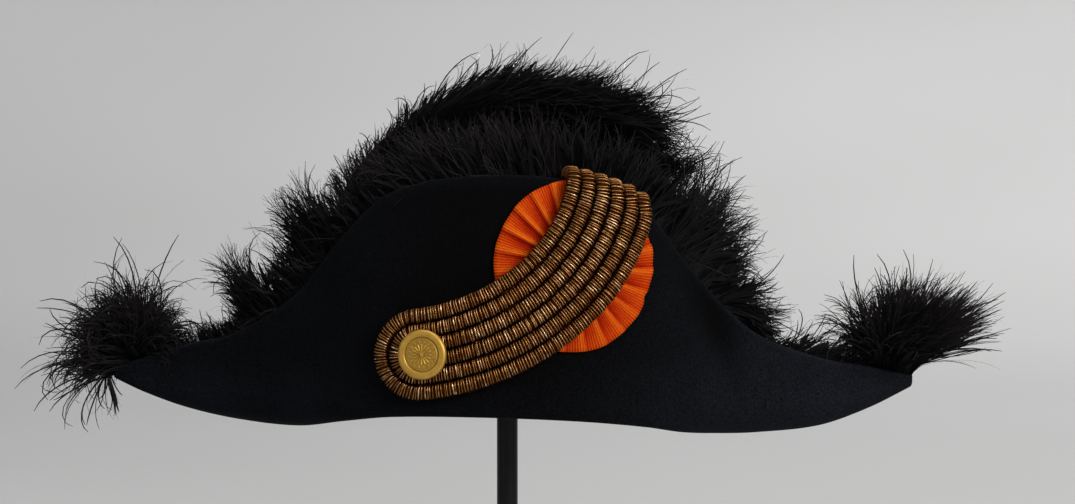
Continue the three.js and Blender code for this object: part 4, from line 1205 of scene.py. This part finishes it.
def make_stand(material):
    """The stand's round foot, its rod and the domed rest under the crown."""
    radius, height, bevel, edge = STAND.foot_radius, STAND.foot_height, STAND.foot_bevel, STAND.foot_edge
    flat = radius - STAND.foot_band
    foot = [(AXIS, 0), (flat, 0)]
    foot += rounded(radius - edge, edge, edge, -90)
    foot += rounded(radius - bevel, height - bevel, bevel, 0)
    foot += [(flat, height), (AXIS, height)]

    dome, rest_radius = STAND.rest_dome, STAND.rest_radius
    centre = RIM_HEIGHT + CROWN.top - FELT_WALL - SOFT_GAP - dome
    rest_foot = centre + math.sqrt(dome ** 2 - rest_radius ** 2) - STAND.rest_edge
    reaches = np.linspace(rest_radius, AXIS, STAND.rest_rings)
    rest = [(AXIS, rest_foot), (rest_radius - STAND.rest_edge / 2, rest_foot)]
    rest += [(reach, centre + math.sqrt(dome ** 2 - reach ** 2)) for reach in reaches]

    low, high = height + SEAM_GAP, rest_foot - SEAM_GAP
    radius, edge, band = STAND.rod_radius, STAND.rod_edge, STAND.rod_band
    rod = [(AXIS, low)] + rounded(radius - edge, low + edge, edge, -90)
    rod += [(radius, level) for level in np.linspace(low + band, high - band, STAND.rod_rings)]
    rod += rounded(radius - edge, high - edge, edge, 0) + [(AXIS, high)]
    for name, node, profile in (("stand_foot", "stand_base", foot), ("stand_pole", "stand_rod", rod),
                                ("stand_pad", "stand_rest", rest)):
        add_piece(turned(name, profile, STAND.sides), node, material)


def make_sweep():
    """A pale floor that turns up into a round wall far away."""
    flat, bend = SWEEP.flat, SWEEP.bend
    angles = np.linspace(0, math.pi / 2, SWEEP.steps)
    profile = [(reach, 0) for reach in SWEEP.rings]
    profile += [(flat + bend * math.sin(angle), bend * (1 - math.cos(angle))) for angle in angles]
    profile.append((flat + bend, bend + SWEEP.wall))
    floor = turned("studio_sweep", np.array(profile) / MM, SWEEP.sides)
    floor.data.flip_normals()
    floor.location.z = -SWEEP.below
    floor.data.materials.append(new_material("paper"))


def aim(obj, place, heading):
    """Places a light or the camera and turns it towards its heading."""
    obj.location = place
    obj.rotation_mode = "QUATERNION"
    obj.rotation_quaternion = heading.to_track_quat("-Z", "Y")


def make_lights():
    """Soft studio lights aimed at the hat, and a pale surround."""
    for name, place, target, width, spread, power, colour in LIGHT_ROWS:
        data = bpy.data.lights.new(name, "AREA")
        data.shape = "DISK"
        data.size = width
        data.spread = math.radians(spread)
        data.energy = power
        data.color = colour
        aim(new_object(name, data), place, Vector(target) - Vector(place))
    world = bpy.data.worlds.new("studio")
    world.use_nodes = True
    surround = world.node_tree.nodes["Background"]
    surround.inputs["Color"].default_value = SURROUND.colour
    surround.inputs["Strength"].default_value = SURROUND.strength
    bpy.context.scene.world = world
    bpy.context.scene.view_settings.view_transform = "Standard"


def make_camera():
    """The camera at the photograph's angle, a little above the hat."""
    data = bpy.data.cameras.new("camera")
    data.lens = CAMERA_LENS
    data.sensor_width = CAMERA_SENSOR
    camera = new_object("camera", data)
    tilt = math.radians(CAMERA_ELEVATION)
    back = Vector((0, -math.cos(tilt), math.sin(tilt)))
    aim(camera, Vector(CAMERA_TARGET) + back * CAMERA_DISTANCE, -back)
    bpy.context.scene.camera = camera


def main():
    """Builds the dressed hat, the stand and the studio."""
    make_camera()
    make_sweep()
    make_lights()
    felt = felt_material()
    make_brim(felt)
    make_crown(felt)
    feather = new_material("feather")
    make_trim("front", TRIM_FRONT_ROWS, feather, seed=11)
    make_trim("back", TRIM_BACK_ROWS, feather, seed=12)
    make_tuft("left", material=feather, **TUFT_LEFT)
    make_tuft("right", material=feather, **TUFT_RIGHT)
    make_cockade(new_material("ribbon"))
    wire, shade_core = new_material("bullion"), new_material("bullion_shade_core")
    for row in STRAND_ROWS:
        make_bullion(*row, wire, shade_core)
    make_button(new_material("gilt"))
    make_stand(new_material("stand"))


main()
